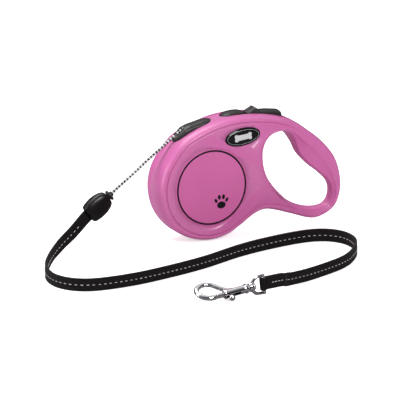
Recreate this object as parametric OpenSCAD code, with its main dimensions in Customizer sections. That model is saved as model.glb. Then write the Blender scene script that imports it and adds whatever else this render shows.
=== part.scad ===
// Retractable cord leash: a two-shell case with a hand loop, a spring-driven cord
// spool, a brake button with its pawl and lock, and a webbing strap with a snap hook.
// The cord leaves the case to the left, the hand loop is on the right.
//
// The frame: +X runs from the cord side to the hand loop, +Z is up, +Y points from
// the left side face (with the visible label) to the right side face. The origin is
// the centre of the round flat on the right side face, on the spool's axis. Modules
// are drawn about the parting plane (y = 0) and put in the frame by in_frame().

/* [Case] */
// Radius of the round spool housing at the parting plane
body_r = 41.4; // [41.2:0.1:41.8]
// Overall thickness of the case
case_t = 28.5; // [28.2:0.1:29]
// How far the side face's edge is rounded in from the outline
edge_round = 4.3; // [3.5:0.1:4.5]
// Wall between the side face and the spool chamber
side_wall = 2.25; // [2.1:0.05:2.5]
// Radius of the spool chamber
chamber_r = 38.3; // [38.1:0.1:38.5]
// Radius of the printed label disc on each side
label_r = 29.6; // [24:0.1:30.5]
// Thickness of the label discs and badges
inlay_t = 0.5; // [0.3:0.05:0.6]

/* [Spool] */
// Outer radius of the spool's flanges
flange_r = 37; // [36:0.1:37.2]
// Radius of the drum that the cord winds on
drum_r = 26; // [25:0.5:27]
// Distance between the spool's outer faces
spool_w = 21; // [20:0.1:21.4]
// Thickness of each flange
flange_t = 2.5; // [2:0.1:3]
// Radius of the fixed axle
axle_r = 5; // [4.5:0.1:5.5]
// Running clearance on the axle and the pins
run_gap = 0.06; // [0.03:0.01:0.09]
// Number of brake notches in the flange's rim
notch_count = 12; // [8:1:14]
// Number of turns of the mainspring
spring_turns = 8; // [4:1:9]

/* [Cord] */
// Diameter of the braided cord
cord_d = 2.3; // [2:0.1:2.4]
// Slope of the drawn-out cord below the horizontal, in degrees
cord_slope = 36.6; // [35:0.1:38]
// Length of cord between the outlet's lip and the connector at rest
cord_out = 69.6; // [67:0.1:72]

/* [Brake] */
// Width of the brake button
button_w = 11; // [10:0.2:11.2]
// Gap between the button and its slot
button_gap = 0.4; // [0.35:0.05:0.5]
// Angle of one brake notch's centre above the +X direction, in degrees
notch_angle = 62; // [60:0.5:64]

/* [Strap and hook] */
// Width of the webbing
strap_w = 9.8; // [9.2:0.1:10]
// Thickness of the webbing
strap_t = 1.8; // [1.4:0.1:2]
// Distance between the reflective stitches
stitch_pitch = 4.3; // [4:0.1:6]
// Length of one reflective stitch
stitch_len = 2.2; // [1.5:0.1:2.4]
// Radius of the hook's wire
hook_wire_r = 2; // [1.7:0.05:2.1]
// Angle that the hook's ring rises above the ground, in degrees
hook_roll = 18; // [0:1:40]
// Way that the hook's bolt can be drawn back
bolt_travel = 8; // [6:0.5:8]

/* [Hidden] */
$fn = 48;

half_t = case_t / 2;
chamber_y = half_t - side_wall;
pink = "#d66aa8";
deep_pink = "#c2559a";
black = "#1c1a1c";
grey = "#5a5a5c";
white = "#d8d8d8";
steel = "silver";

// ---------- curves and skins ----------
function unit(v) = v / norm(v);
function mix(a, b, t) = a + (b - a) * t;
function spline(a, b, c, d, t) =
    0.5 * (2 * b + (c - a) * t + (2 * a - 5 * b + 4 * c - d) * t * t
           + (3 * b - a - 3 * c + d) * t * t * t);
function closed_curve(p, steps) =
    [for (i = [0 : len(p) - 1], k = [0 : steps - 1])
        spline(p[(i + len(p) - 1) % len(p)], p[i], p[(i + 1) % len(p)],
               p[(i + 2) % len(p)], k / steps)];
function open_curve(p, steps) =
    [for (i = [0 : len(p) - 2], k = [0 : steps - 1])
        spline(p[max(i - 1, 0)], p[i], p[i + 1], p[min(i + 2, len(p) - 1)], k / steps),
     p[len(p) - 1]];
// Each point of a closed counter-clockwise outline moved d to its left (inwards)
function inset(p, d) = inset_each(p, [for (i = p) d]);
// The same, with a distance for each point
function inset_each(p, d) =
    [for (i = [0 : len(p) - 1])
        let (t = unit(p[(i + 1) % len(p)] - p[(i + len(p) - 1) % len(p)]))
        p[i] + d[i] * [-t[1], t[0]]];
function at_y(p, y) = [p[0], y, p[1]];
function polar(r, a) = [r * cos(a), r * sin(a)];

// A closed solid through a list of rings of equal length: a tube closed on itself
module loop_skin(rings) {
    m = len(rings);
    n = len(rings[0]);
    polyhedron(points = [for (r = rings) each r], convexity = 6, faces = [
        for (i = [0 : m - 1], j = [0 : n - 1])
            let (a = i * n + j, b = i * n + (j + 1) % n,
                 c = (i + 1) % m * n + (j + 1) % n, d = (i + 1) % m * n + j)
            each [[a, c, b], [a, d, c]]]);
}

// A closed solid through a list of rings, with a flat cap at each end
module capped_skin(rings) {
    m = len(rings);
    n = len(rings[0]);
    polyhedron(points = [for (r = rings) each r], convexity = 6, faces = [
        for (i = [0 : m - 2], j = [0 : n - 1])
            let (a = i * n + j, b = i * n + (j + 1) % n,
                 c = (i + 1) * n + (j + 1) % n, d = (i + 1) * n + j)
            each [[a, c, b], [a, d, c]],
        for (j = [1 : n - 2]) [0, j, j + 1],
        for (j = [1 : n - 2])
            [(m - 1) * n, (m - 1) * n + j + 1, (m - 1) * n + j]]);
}

// A round tube of radius r along a path, its sections starting from direction up
module rod_along(path, r, up, sides = 10) {
    n = len(path);
    capped_skin([for (i = [0 : n - 1])
        let (t = unit(path[min(i + 1, n - 1)] - path[max(i - 1, 0)]),
             v = unit(cross(t, up)), u = cross(v, t))
        [for (k = [0 : sides - 1])
            let (a = 360 * k / sides) path[i] + r * (cos(a) * u + sin(a) * v)]]);
}

module in_frame() { translate([0, -half_t, 0]) children(); }
// Extrudes an outline drawn in X and Z from y0 to y1
module slab(y0, y1) {
    translate([0, y1, 0]) rotate([90, 0, 0]) linear_extrude(y1 - y0) children();
}
// A round bar along Y
module y_bar(x, z, r, y0, y1) {
    translate([x, y1, z]) rotate([90, 0, 0]) cylinder(r = r, h = y1 - y0);
}
// A bar between two points of the parting plane, a little longer at both ends
module bar_between(p, q, r) {
    d = q - p;
    over = r / 3;
    translate(at_y(p, 0)) rotate([0, -atan2(d[1], d[0]), 0]) rotate([0, 90, 0])
        translate([0, 0, -over]) cylinder(r = r, h = norm(d) + 2 * over);
}
module block(low, high) { translate(low) cube(high - low); }

// ---------- case outline ----------
// Each row: a point of the outer outline, the point of the hand hole across from it,
// the half thickness of the case by the outline and by the hole, and how far the edge
// of the side face lies from the hole. From that edge the surface slopes to the hole.
CASE = [
    [[88, -36.2], [88, -28], 6.8, 6.0, 2.8],
    [[99.8, -33.4], [97.5, -27.7], 6.6, 5.8, 2.8],
    [[107.9, -26.4], [102.4, -24], 6.5, 5.6, 2.8],
    [[111.6, -15.8], [104, -16.9], 6.5, 5.4, 2.9],
    [[111, -4], [101.6, -9.6], 6.8, 5.2, 4.6],
    [[107.1, 8], [94.2, -2.1], 7.4, 5.0, 9.2],
    [[100.4, 17.6], [85.2, 5.3], 8.2, 5.0, 12.2],
    [[92.4, 25.7], [76.9, 14.5], 9.2, 5.6, 12],
    [[83.7, 32.6], [73.2, 22.5], 10.2, 7.0, 6.9],
    [[74.7, 39.2], [68.8, 29.5], 11.4, 9.6, 4.2],
    [[66, 43.9], [63.2, 33.8], 12.6, 12.0, 3.2],
    [[56, 47.2], [57, 35], half_t, half_t, 2.8],
    [[45, 49.4], [50, 32.9], half_t, half_t, 2.6],
    [[33, 50.6], [46, 28.6], half_t, half_t, 2.6],
    [[20, 50.6], [44.1, 23], half_t, half_t, 2.6],
    [[8, 48.9], [43.8, 18.6], half_t, half_t, 2.6],
    [[-4, 45.4], [44, 15], half_t, half_t, 2.6],
    [[-15, 41], [44.2, 13.2], half_t, half_t, 2.6],
    [[-24, 35.4], [44.5, 11.5], half_t, half_t, 2.6],
    [polar(body_r, 142), [44.8, 10.1], half_t, half_t, 2.6],
    [polar(body_r, 160), [45.1, 8.7], half_t, half_t, 2.6],
    [polar(body_r, 180), [45.6, 7.2], half_t, half_t, 2.6],
    [polar(body_r, 203), [46.1, 5.6], half_t, half_t, 2.6],
    [polar(body_r, 226), [46.8, 3.9], half_t, half_t, 2.6],
    [polar(body_r, 249), [47.7, 2], half_t, half_t, 2.6],
    [polar(body_r, 271), [48.7, 0.2], half_t, half_t, 2.6],
    [polar(body_r, 291), [50, -1.7], half_t, half_t, 2.6],
    [[25.8, -32.8], [51.7, -4.1], half_t, half_t, 2.6],
    [[36, -26.6], [54.6, -7.7], 13.4, half_t, 2.6],
    [[46, -24], [60, -13.2], 11.8, 13.2, 2.6],
    [[57, -26.2], [67.5, -19.6], 9.8, 10, 2.6],
    [[70, -30.6], [77, -25], 7.9, 7.4, 2.6]];
case_steps = 3;
outer_line = closed_curve([for (c = CASE) c[0]], case_steps);
hole_line = closed_curve([for (c = CASE) c[1]], case_steps);
outer_y = [for (y = closed_curve([for (c = CASE) c[2]], case_steps)) min(y, half_t)];
hole_y = [for (y = closed_curve([for (c = CASE) c[3]], case_steps)) min(y, half_t)];
flare = closed_curve([for (c = CASE) c[4]], case_steps);
// The edge profile: share of the rounding inwards, share of the half thickness. It
// starts past the parting plane, where the two halves are cut off.
EDGE = [[0, -0.1], [0, 0.15], [0.12, 0.63], [0.3, 0.84], [0.62, 0.96], [1, 1]];
hole_round = 2.2;

// One half of the case's solid form, on the side given by s (-1 left, +1 right)
module half_form(s) {
    out = [for (e = EDGE)
        let (line = inset(outer_line, e[0] * edge_round))
        [for (i = [0 : len(line) - 1]) at_y(line[i], s * e[1] * outer_y[i])]];
    hole = [for (k = [len(EDGE) - 1 : -1 : 0])
        let (line = inset(hole_line, -EDGE[k][0] * hole_round))
        [for (i = [0 : len(line) - 1]) at_y(line[i], s * EDGE[k][1] * hole_y[i])]];
    face_edge = inset_each(hole_line, -flare);
    brow = [for (i = [0 : len(face_edge) - 1]) at_y(face_edge[i], s * outer_y[i])];
    rings = concat(out, [brow], hole);
    difference() {
        loop_skin(s < 0 ? rings : [for (i = [len(rings) - 1 : -1 : 0]) rings[i]]);
        block([-60, s < 0 ? 0 : -5, -60], [130, s < 0 ? 5 : 0, 60]);
    }
}

// ---------- case ----------
SCREWS = [[46.5, -13], [67, 38.2], [97.3, 8], [4.9, 42.4]];
screw_r = 1.4;
screw_tip_y = -5.4;
head_r = 2.7;
head_y = 4;
screw_post_r = 3.4;
// Gap between pieces that sit tight in one another
fit = 0.02;
inlay_gap = 0.08;
// The seats of the axle, and the axle's ends
seat_r = 8.5;
seat_y = 11.1;
axle_y = 11.85;
end_gap = 0.05;
// The pins of the button and the pawl
pivot = [17, 47];
pivot_y = 8.8;
pawl_pivot = [41, 39.6];
pin_r = 1.2;
pawl_pin_r = 1.3;
pawl_pin_y = [-11.9, 4.8];
pawl_post_r = 2.2;
// Half width of the brake cavity and the low cavity, and of the hollow in the handle
cavity_y = 10.5;
pocket_y = 3.2;
// The lock's ledges: x, distance from the parting plane, z
ledge = [[33, 36.6], [6.1, 10.6], [43.35, 43.85]];
slot_x0 = 13.7;
slot_x1 = 62;
badge_at = [25.5, 35.8];
badge_size = [28.8, 13.5];
badge_tilt = 6;
brake_cavity = [[-10, 30], [-10, 40], [-6, 41.6], [6, 45.4], [20, 47.6], [33, 47.6], [46, 46.4],
                [58, 44], [64.4, 41.6], [62, 37.8], [53, 37.4], [46, 34.5], [42, 28],
                [40.9, 16], [36, 10], [10, 30]];
low_cavity = [[38, 10], [41.2, 8.6], [44.2, -1], [48, -7], [53, -13.4], [52, -19.6],
              [46, -20.4], [38, -22], [30, -25]];

// A stadium seen from above, rounded at its left end only
module slot_plan(w, x0, x1) {
    translate([x0 + w / 2, 0]) circle(d = w);
    translate([x0 + w / 2, -w / 2]) square([x1 - x0 - w / 2, w]);
}
// An oval prism laid in the side face, from y0 to y1, grown by gap
module badge_form(y0, y1, gap) {
    translate([badge_at[0], 0, badge_at[1]]) rotate([0, -badge_tilt, 0])
        slab(y0, y1) polygon(oval(gap));
}
function oval(gap) = [for (k = [0 : 35])
    [(badge_size[0] / 2 + gap) * cos(10 * k), (badge_size[1] / 2 + gap) * sin(10 * k)]];
// Long round grip pocket inside the handle
module grip_pocket() {
    a = 6 * case_steps + 1;
    b = 9 * case_steps;
    rim = inset(outer_line, 3.6);
    hole = inset(hole_line, -3.2);
    slab(-pocket_y, pocket_y)
        polygon(concat([for (i = [a : b]) rim[i]], [for (i = [b : -1 : a]) hole[i]]));
}

// What both shells leave free: chamber, brake and lower cavities, slots and fits
module case_hollow() {
    difference() {
        union() {
            y_bar(0, 0, chamber_r, -chamber_y, chamber_y);
            slab(-cavity_y, cavity_y) polygon(brake_cavity);
            slab(-cavity_y, cavity_y) polygon(low_cavity);
        }
        for (s = [0 : 3])
            if (s != 2) y_bar(SCREWS[s][0], SCREWS[s][1], screw_post_r, -half_t, half_t);
        for (y = [-1, 1]) {
            difference() {
                y_bar(0, 0, seat_r, y < 0 ? -half_t : seat_y, y < 0 ? -seat_y : half_t);
                y_bar(0, 0, axle_r + fit, -axle_y - end_gap, axle_y + end_gap);
            }
            lock_ledge(y);
        }
        // The post on the right shell that steadies the pawl's pin
        y_bar(pawl_pivot[0], pawl_pivot[1], pawl_post_r, 2, ledge[1][1]);
    }
    grip_pocket();
    translate([0, 0, 40]) linear_extrude(20)
        slot_plan(button_w + 2 * button_gap, slot_x0 - button_gap, slot_x1 + 0.8);
    outlet_form(inlay_gap);
    y_bar(pivot[0], pivot[1], pin_r + fit, -pivot_y - 0.2, pivot_y + 0.2);
    for (s = [-1, 1]) {
        y_bar(0, 0, label_r + 0.05, s < 0 ? -half_t - 1 : half_t - inlay_t,
              s < 0 ? -half_t + inlay_t : half_t + 1);
        badge_form(s < 0 ? -half_t - 1 : half_t - inlay_t,
                   s < 0 ? -half_t + inlay_t : half_t + 1, inlay_gap);
    }
}
// The shelf on each shell that the lock slider's foot slides under
module lock_ledge(s) {
    block([ledge[0][0], s < 0 ? -ledge[1][1] : ledge[1][0], ledge[2][0]],
          [ledge[0][1], s < 0 ? -ledge[1][0] : ledge[1][1], ledge[2][1]]);
}

module left_shell() {
    color(pink) in_frame() difference() {
        half_form(-1);
        case_hollow();
        for (p = SCREWS) y_bar(p[0], p[1], screw_r + fit, screw_tip_y - 0.2, 1);
        y_bar(pawl_pivot[0], pawl_pivot[1], pawl_pin_r + fit, pawl_pin_y[0] - 0.1, 0);
    }
}
module right_shell() {
    color(deep_pink) in_frame() difference() {
        half_form(1);
        case_hollow();
        for (p = SCREWS) {
            y_bar(p[0], p[1], screw_r + 0.2, -1, 8);
            y_bar(p[0], p[1], head_r + 0.3, head_y, 16);
        }
        y_bar(pawl_pivot[0], pawl_pivot[1], pawl_pin_r + fit, 0, pawl_pin_y[1] + 0.2);
    }
}
// A round label, flush in the side face
module label_disc(s) {
    y0 = s < 0 ? -half_t : half_t - inlay_t + fit;
    y1 = s < 0 ? -half_t + inlay_t - fit : half_t;
    y_bar(0, 0, label_r, y0, y1);
}
module left_label() { color(pink) in_frame() label_disc(-1); }
module right_label() { color(deep_pink) in_frame() label_disc(1); }
// A domed oval badge set in the side face beside the button
module badge(s) {
    dome = [[0, -inlay_t + fit], [0, 0.35], [-0.5, 0.7], [-1.6, 1], [-3.6, 1.2]];
    rings = [for (d = dome) [for (p = oval(d[0])) at_y(p, s * (half_t + d[1]))]];
    color(black) in_frame()
        translate([badge_at[0], 0, badge_at[1]]) rotate([0, -badge_tilt, 0])
            capped_skin(s < 0 ? rings : [for (i = [len(rings) - 1 : -1 : 0]) rings[i]]);
}
module left_badge() { badge(-1); }
module right_badge() { badge(1); }
// Self-tapping screws, their heads sunk in the right shell
module case_screws() {
    color(steel) in_frame() for (p = SCREWS) difference() {
        union() {
            y_bar(p[0], p[1], screw_r, screw_tip_y, head_y + end_gap);
            y_bar(p[0], p[1], head_r, head_y + end_gap, head_y + 2);
        }
        translate([p[0], head_y + 2, p[1]]) for (a = [0, 90]) rotate([0, a, 0])
            cube([2.8, 2, 0.6], center = true);
    }
}

// ---------- cord outlet ----------
outlet_w = 12;
// Centres of the outlet's round ends, seen from above
outlet_x = [-19, -0.6];
trough_w = cord_d + 1.8;
lip = [-22.5, 40];
// Where the cord runs inside the outlet, from the spool to the lip
LEAD = [[13.2, 33.7], [-13.2, 43.9], [-16.8, 43.5], lip];
module outlet_form(gap) {
    low = [[5.2, 46.4], [-3, 42.6], [-12, 38.6], [-20, 35], [-24, 34.8]];
    high = [[-25, 36], [-24.6, 38.4], [-22.6, 39.6], [-17, 44.8], [-13, 46.4],
            [-8, 47.5], [-3, 48.6], [2, 49.3], [5.4, 48.9]];
    w = outlet_w + 2 * gap;
    intersection() {
        slab(-w / 2, w / 2) if (gap > 0) offset(delta = gap) polygon(concat(low, high));
            else polygon(concat(low, high));
        translate([0, 0, 30]) linear_extrude(30) {
            translate([outlet_x[1], 0]) circle(d = w);
            translate([outlet_x[0], 0]) circle(d = w);
            translate([outlet_x[0], -w / 2]) square([outlet_x[1] - outlet_x[0], w]);
        }
    }
}
module cord_outlet() {
    color(black) in_frame() difference() {
        outlet_form(0);
        for (i = [0 : len(LEAD) - 2]) bar_between(LEAD[i], LEAD[i + 1], cord_d / 2 + 0.5);
        // The open trough in front of the mouth
        translate([lip[0], 0, lip[1]]) rotate([0, -cord_slope, 0]) {
            block([-6, -trough_w / 2, 0], [4.6, trough_w / 2, 8]);
            block([-6, -trough_w / 2 + 0.4, -cord_d / 2 - 0.4], [0.5, trough_w / 2 - 0.4, 1]);
        }
        y_bar(0, 0, chamber_r, -7, 7);
    }
}
// The length of cord between the spool and the outlet's lip
module cord_lead() {
    straight = [for (t = [0 : 0.25 : 0.75]) mix(LEAD[0], LEAD[1], t)];
    bends = [for (i = [1 : len(LEAD) - 1]) LEAD[i]];
    color(white) in_frame()
        rod_along(open_curve([for (p = concat(straight, bends)) at_y(p, 0)], 3),
                  cord_d / 2, [0, 1, 0]);
}

// ---------- spool ----------
spool_y = spool_w / 2;
well_r = drum_r - 2;
well_y0 = -6;
cover_y0 = spool_y - 2;
pack_r = 34.9;
pack_turns = 7;
notch_floor_r = 33.2;
notch_w = 7.8;
knot_r = 1.4;
// Round windows of the spring cover
window_at = 14.5;
window_r = 2.6;
module spool_axle() {
    color(steel) in_frame() difference() {
        y_bar(0, 0, axle_r, -axle_y, axle_y);
        // The slot that holds the mainspring's inner end
        block([-0.5, well_y0 + 0.4, 0], [0.5, cover_y0, axle_r + 1]);
        y_bar(0, 0, 1.6, 4, 12);
    }
}
module spool() {
    color(grey) in_frame() difference() {
        union() {
            y_bar(0, 0, flange_r, -spool_y, flange_t - spool_y);
            y_bar(0, 0, flange_r, spool_y - flange_t, spool_y);
            y_bar(0, 0, drum_r, -spool_y, spool_y);
        }
        y_bar(0, 0, axle_r + run_gap, -spool_y - 1, spool_y + 1);
        y_bar(0, 0, well_r, well_y0, spool_y + 1);
        for (i = [0 : notch_count - 1])
            rotate([0, -notch_angle - i * 360 / notch_count, 0])
                block([notch_floor_r, -spool_y - 1, -notch_w / 2],
                      [flange_r + 3, flange_t - spool_y + 0.2, notch_w / 2]);
        // The hole where the cord's end is knotted into the drum
        rotate([0, 30, 0]) translate([well_r - 1, 0, 0]) rotate([0, 90, 0])
            cylinder(r = knot_r, h = 4);
    }
}
module spring_cover() {
    color(grey) in_frame() difference() {
        y_bar(0, 0, well_r - fit, cover_y0, spool_y - 0.2);
        y_bar(0, 0, axle_r + run_gap, cover_y0 - 1, spool_y + 1);
        for (a = [0 : 60 : 300])
            rotate([0, a, 0]) y_bar(window_at, 0, window_r, cover_y0 - 1, spool_y + 1);
    }
}
// A flat spiral from the axle to the drum's inner wall
module mainspring() {
    steps = 20;
    last = spring_turns * steps;
    r0 = axle_r + 0.4;
    r1 = well_r - 0.7;
    band = 0.5;
    function at(k, d) = polar(mix(r0, r1, k / last) + d, 90 + 360 * k / steps);
    color(steel) in_frame() {
        slab(well_y0 + 0.6, cover_y0 - 0.4)
            polygon(concat([for (k = [0 : last]) at(k, band)],
                           [for (k = [last : -1 : 0]) at(k, 0)]));
    }
}
// The cord on the drum, seven turns across in its last layer
module wound_cord() {
    turn = (spool_w - 2 * flange_t - 0.6) / pack_turns;
    last = (pack_turns - 1) / 2;
    color(white) in_frame() rotate([90, 0, 0]) rotate_extrude($fn = 96) union() {
        translate([drum_r + end_gap, -pack_turns / 2 * turn])
            square([pack_r - drum_r - end_gap - turn / 2, pack_turns * turn]);
        for (i = [-last : last])
            translate([pack_r - turn / 2, i * turn]) circle(d = turn * 0.98);
    }
}

// ---------- brake ----------
// The return spring under the button's lever: x, its lower end, wire and coil radius
spring_x = 54;
spring_z0 = 37.9;
spring_wire_r = 0.35;
spring_r = 2.7;
// The lock slider's stem: its ends along x and half its width
stem_x = [37, 41];
stem_y = 2;
module brake_button() {
    top = [[13.7, 49.2], [15, 50.9], [19, 52.3], [24, 52.9], [29, 52.7], [31, 51.2],
           [31, 49.4], [44.6, 49.4], [44.6, 51], [52, 50.7], [61.8, 49.4], [62, 49]];
    low = [[62, 43.8], [50, 44], [47, 45.4], [34, 45.4], [33.2, 42.5], [30.6, 42.5],
           [29, 45.4], [20, 44.8], [13.9, 45.4]];
    color(black) in_frame() difference() {
        intersection() {
            slab(-button_w / 2, button_w / 2) polygon(concat(top, low));
            translate([0, 0, 30]) linear_extrude(40)
                slot_plan(button_w, slot_x0, slot_x1);
        }
        y_bar(pivot[0], pivot[1], pin_r + run_gap, -pivot_y - 0.2, pivot_y + 0.2);
        // The slot for the lock slider's stem, with room for its travel
        block([stem_x[0] - 3.4, -stem_y - 0.1, 40], [stem_x[1] + 0.4, stem_y + 0.1, 60]);
        // Only the left side carries the finger that presses the pawl
        block([30, -2.6, 40], [33.5, 6, 45.4]);
        // The seat of the return spring
        translate([spring_x, 0, 43]) cylinder(r = spring_r + 0.7, h = 3.4);
    }
}
module button_pin() {
    color(steel) in_frame() y_bar(pivot[0], pivot[1], pin_r, -pivot_y, pivot_y);
}
module button_spring() {
    turns = 4;
    steps = 12;
    top = 46;
    color(steel) in_frame()
        rod_along([for (k = [0 : turns * steps])
            [spring_x + spring_r * cos(360 * k / steps), spring_r * sin(360 * k / steps),
             mix(spring_z0, top, k / (turns * steps))]], spring_wire_r, [0, 0, 1], 6);
}
// A ribbed thumb piece on the button, with a stem and a foot that catches the ledges
module lock_slider() {
    profile = [[34.6, 49.5], [34.6, 50.4], [41.3, 54], [42.8, 53.2], [43.6, 49.5]];
    color(black) in_frame() {
        difference() {
            slab(-4.4, 4.4) polygon(profile);
            for (x = [35.6 : 1.5 : 40.2])
                block([x, -5, 50.6 + (x - 34.6) * 0.5], [x + 0.6, 5, 56]);
        }
        block([stem_x[0], -stem_y, 44.2], [stem_x[1], stem_y, 49.6]);
        block([stem_x[0], -7, 44.15], [stem_x[1], 7, 44.7]);
    }
}
module brake_pawl() {
    arm = [[41, 41.9], [30, 42.2], [18, 39.4], [14.3, 37.4], [14.2, 34.9], [17.6, 34.6],
           [20, 36.2], [41, 37.3]];
    color(steel) in_frame() difference() {
        union() {
            slab(-10.45, -8) polygon(arm);
            y_bar(pawl_pivot[0], pawl_pivot[1], 2.3, -10.45, -3);
            block([30.4, -8.1, 39.6], [33.2, -3, 42.2]);
        }
        y_bar(pawl_pivot[0], pawl_pivot[1], pawl_pin_r + run_gap, pawl_pin_y[0] - 0.1, 0);
    }
}
module pawl_pin() {
    color(steel) in_frame() 
        y_bar(pawl_pivot[0], pawl_pivot[1], pawl_pin_r, pawl_pin_y[0], pawl_pin_y[1]);

}

// ---------- cord and connector ----------
// The pin that the strap is looped round: distance down the cord, half its length
loop_pin_x = 11;
loop_pin_z = 7.4;
mouth_x0 = 7.4;
mouth_y = 2.2;
connector_top = lip + polar(cord_out, 180 + cord_slope);
// Turns children so that their X runs down the cord, from the connector's cord end
module down_the_cord() {
    translate([connector_top[0], 0, connector_top[1]]) rotate([0, 180 - cord_slope, 0])
        children();
}
module drawn_cord() {
    color(white) in_frame() down_the_cord() translate([-cord_out + 0.3, 0, 0])
        rotate([0, 90, 0]) cylinder(d = cord_d, h = cord_out + 5);
}
// The small collar that stops the connector at the outlet
module cord_stop() {
    color(black) in_frame() down_the_cord() rotate([0, 90, 0]) difference() {
        translate([0, 0, -4.4]) union() {
            cylinder(r = 2, h = 3);
            translate([0, 0, 1.8]) cylinder(r = 4.2, h = 1.6);
            translate([0, 0, 3]) cylinder(r = 2.6, h = 1.3);
        }
        translate([0, 0, -6]) cylinder(r = cord_d / 2 + 0.05, h = 8);
    }
}
// Sections of the barrel-shaped connector: distance, half width, half thickness
BARREL = [[0, 4.4, 3], [1.2, 5.7, 3.9], [4, 7.2, 4.7], [9, 8.3, 5.1], [14, 8.2, 5.1],
          [17.8, 7.5, 4.7], [19.6, 6.4, 3.9]];
module connector() {
    color(black) in_frame() down_the_cord() difference() {
        capped_skin([for (b = BARREL) [for (k = [0 : 19])
            let (c = cos(18 * k), s = sin(18 * k))
            [b[0], b[2] * sign(c) * pow(abs(c), 0.75), b[1] * sign(s) * pow(abs(s), 0.75)]]]);
        block([mouth_x0, -mouth_y, -strap_w / 2 - 0.25], [20, mouth_y, strap_w / 2 + 0.25]);
        translate([-1, 0, 0]) rotate([0, 90, 0]) cylinder(d = cord_d + 0.1, h = 10);
        translate([loop_pin_x, 0, -10]) cylinder(r = pin_r + fit, h = 20);
    }
}
module connector_pin() {
    color(steel) in_frame() down_the_cord() translate([loop_pin_x, 0, -loop_pin_z])
        cylinder(r = pin_r, h = 2 * loop_pin_z);
}

// ---------- strap ----------
ground = -body_r - 0.1;
// The strap's centre line: from the connector down to the ground, a turn to the
// front, a long run to the right on its edge, a turn and a run back to the hook
bar_at = [-29.6, -160.6, ground + 7.6];
upright = ground + strap_w / 2;
hook_yaw = 184.8;
hook_pitch = 6;
bar_dir = [sin(hook_pitch) * cos(hook_yaw), sin(hook_pitch) * sin(hook_yaw), cos(hook_pitch)];
function along_cord(d, y) = at_y(connector_top + polar(d, 180 + cord_slope), y);
STRAP = [
    along_cord(12, 0), along_cord(22, 0), [-108, -3, -23.8], [-120, -9, -29.6],
    [-131, -18, -33.6], [-141.5, -31, upright + 0.8], [-150.5, -46, upright],
    [-156.6, -63, upright], [-157, -80, upright], [-149.5, -93.5, upright],
    [-134, -100.3, upright], [-104, -99, upright], [-70, -90.5, upright],
    [-37, -79, upright], [0, -61.5, upright], [31, -51.5, upright],
    [60, -46.5, upright], [76, -50, upright], [85, -62, upright],
    [85, -80, upright], [75, -101, upright], [54.5, -123, upright],
    [20.7, -141.2, upright], [-5.2, -152.8, upright + 1.2],
    bar_at + [16, 1.3, 0.8], bar_at + [2.2, 0.2, 0.2]];
strap_line = open_curve(STRAP, 3);
// Direction across the strap at its point i: square to the cord at first, then upright,
// and along the hook's bar at the end
function across(i) =
    let (n = len(strap_line),
         t = unit(strap_line[min(i + 1, n - 1)] - strap_line[max(i - 1, 0)]),
         lean = [-sin(cord_slope), 0, cos(cord_slope)],
         up = unit(mix(lean, [0, 0, 1], min(i / 12, 1))
                   + max(i - n + 11, 0) / 10 * (bar_dir - [0, 0, 1])),
         side = unit(cross(up, t)))
    [unit(cross(t, side)), side];
// The same, a share m of the way to the next point
function across_at(i, m) = [for (k = [0, 1]) unit(mix(across(i)[k], across(i + 1)[k], m))];
function ribbon(i, w, d0, d1) =
    let (a = across(i), p = strap_line[i])
    [p - w / 2 * a[0] + d0 * a[1], p - w / 2 * a[0] + d1 * a[1],
     p + w / 2 * a[0] + d1 * a[1], p + w / 2 * a[0] + d0 * a[1]];
// The last stretch is two layers thick, where the end is sewn back on itself
fold_steps = 5;
fold_t = strap_t * 0.8;
module strap() {
    n = len(strap_line);
    t = strap_t / 2;
    fold_w = strap_w - 0.6;
    color(black) in_frame() difference() {
        union() {
            capped_skin([for (i = [0 : n - 1])
                let (layer = fold_t * min(max(i - n + 1 + fold_steps, 0), 1))
                ribbon(i, strap_w, -t - layer, t)]);
            // The fold round the hook's eye
            along_hook() translate([0, 0, -fold_w / 2])
                cylinder(r = eye_bar_r + run_gap + fold_t, h = fold_w);
            // The fold round the connector's pin
            down_the_cord() translate([loop_pin_x, 0, -fold_w / 2])
                cylinder(r = pin_r + 0.85, h = fold_w);
        }
        along_hook() translate([0, 0, -10]) cylinder(r = eye_bar_r + run_gap, h = 20);
        down_the_cord() translate([loop_pin_x, 0, -10]) cylinder(r = pin_r + fit, h = 20);
    }
}
// A box-shaped stitch from p to q on the face given by s, for the strap's directions a
module stitch(p, q, a, s) {
    half_w = 0.35;
    low = strap_t / 2 + 0.16;
    high = low + 0.3;
    // The corners run counter-clockwise about the strap's direction on both faces
    corners = s < 0 ? [[-1, -high], [-1, -low], [1, -low], [1, -high]]
                    : [[-1, low], [-1, high], [1, high], [1, low]];
    capped_skin([for (c = [p, q]) [for (k = corners) c + half_w * k[0] * a[0] + k[1] * a[1]]]);
}
// One row of reflective stitches along the middle of each face
module strap_stitching() {
    color(white) in_frame()
        for (i = [5 : len(strap_line) - 8])
            let (p = strap_line[i], q = strap_line[i + 1], run = norm(q - p),
                 count = max(round(run / stitch_pitch), 1))
            for (k = [0 : count - 1], s = [-1, 1])
                let (mid = (k + 0.5) / count, reach = stitch_len / 2 / run)
                stitch(mix(p, q, mid - reach), mix(p, q, mid + reach), across_at(i, mid), s);
}

// ---------- snap hook ----------
eye_bar_r = 1.4;
eye_w = 10.5;
eye_wire_r = 1.2;
eye_bend = 6.4;
eye_reach = 12;
boss_t = 2.4;
post_r = 1.8;
post_head_r = 2.9;
barrel_x0 = 14.2;
barrel_len = 19.6;
barrel_r = 3.2;
bore_x0 = barrel_x0 + 3.4;
bolt_r = 1.9;
ring_at = [42, 8.4];
ring_r = 8.6;
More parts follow.
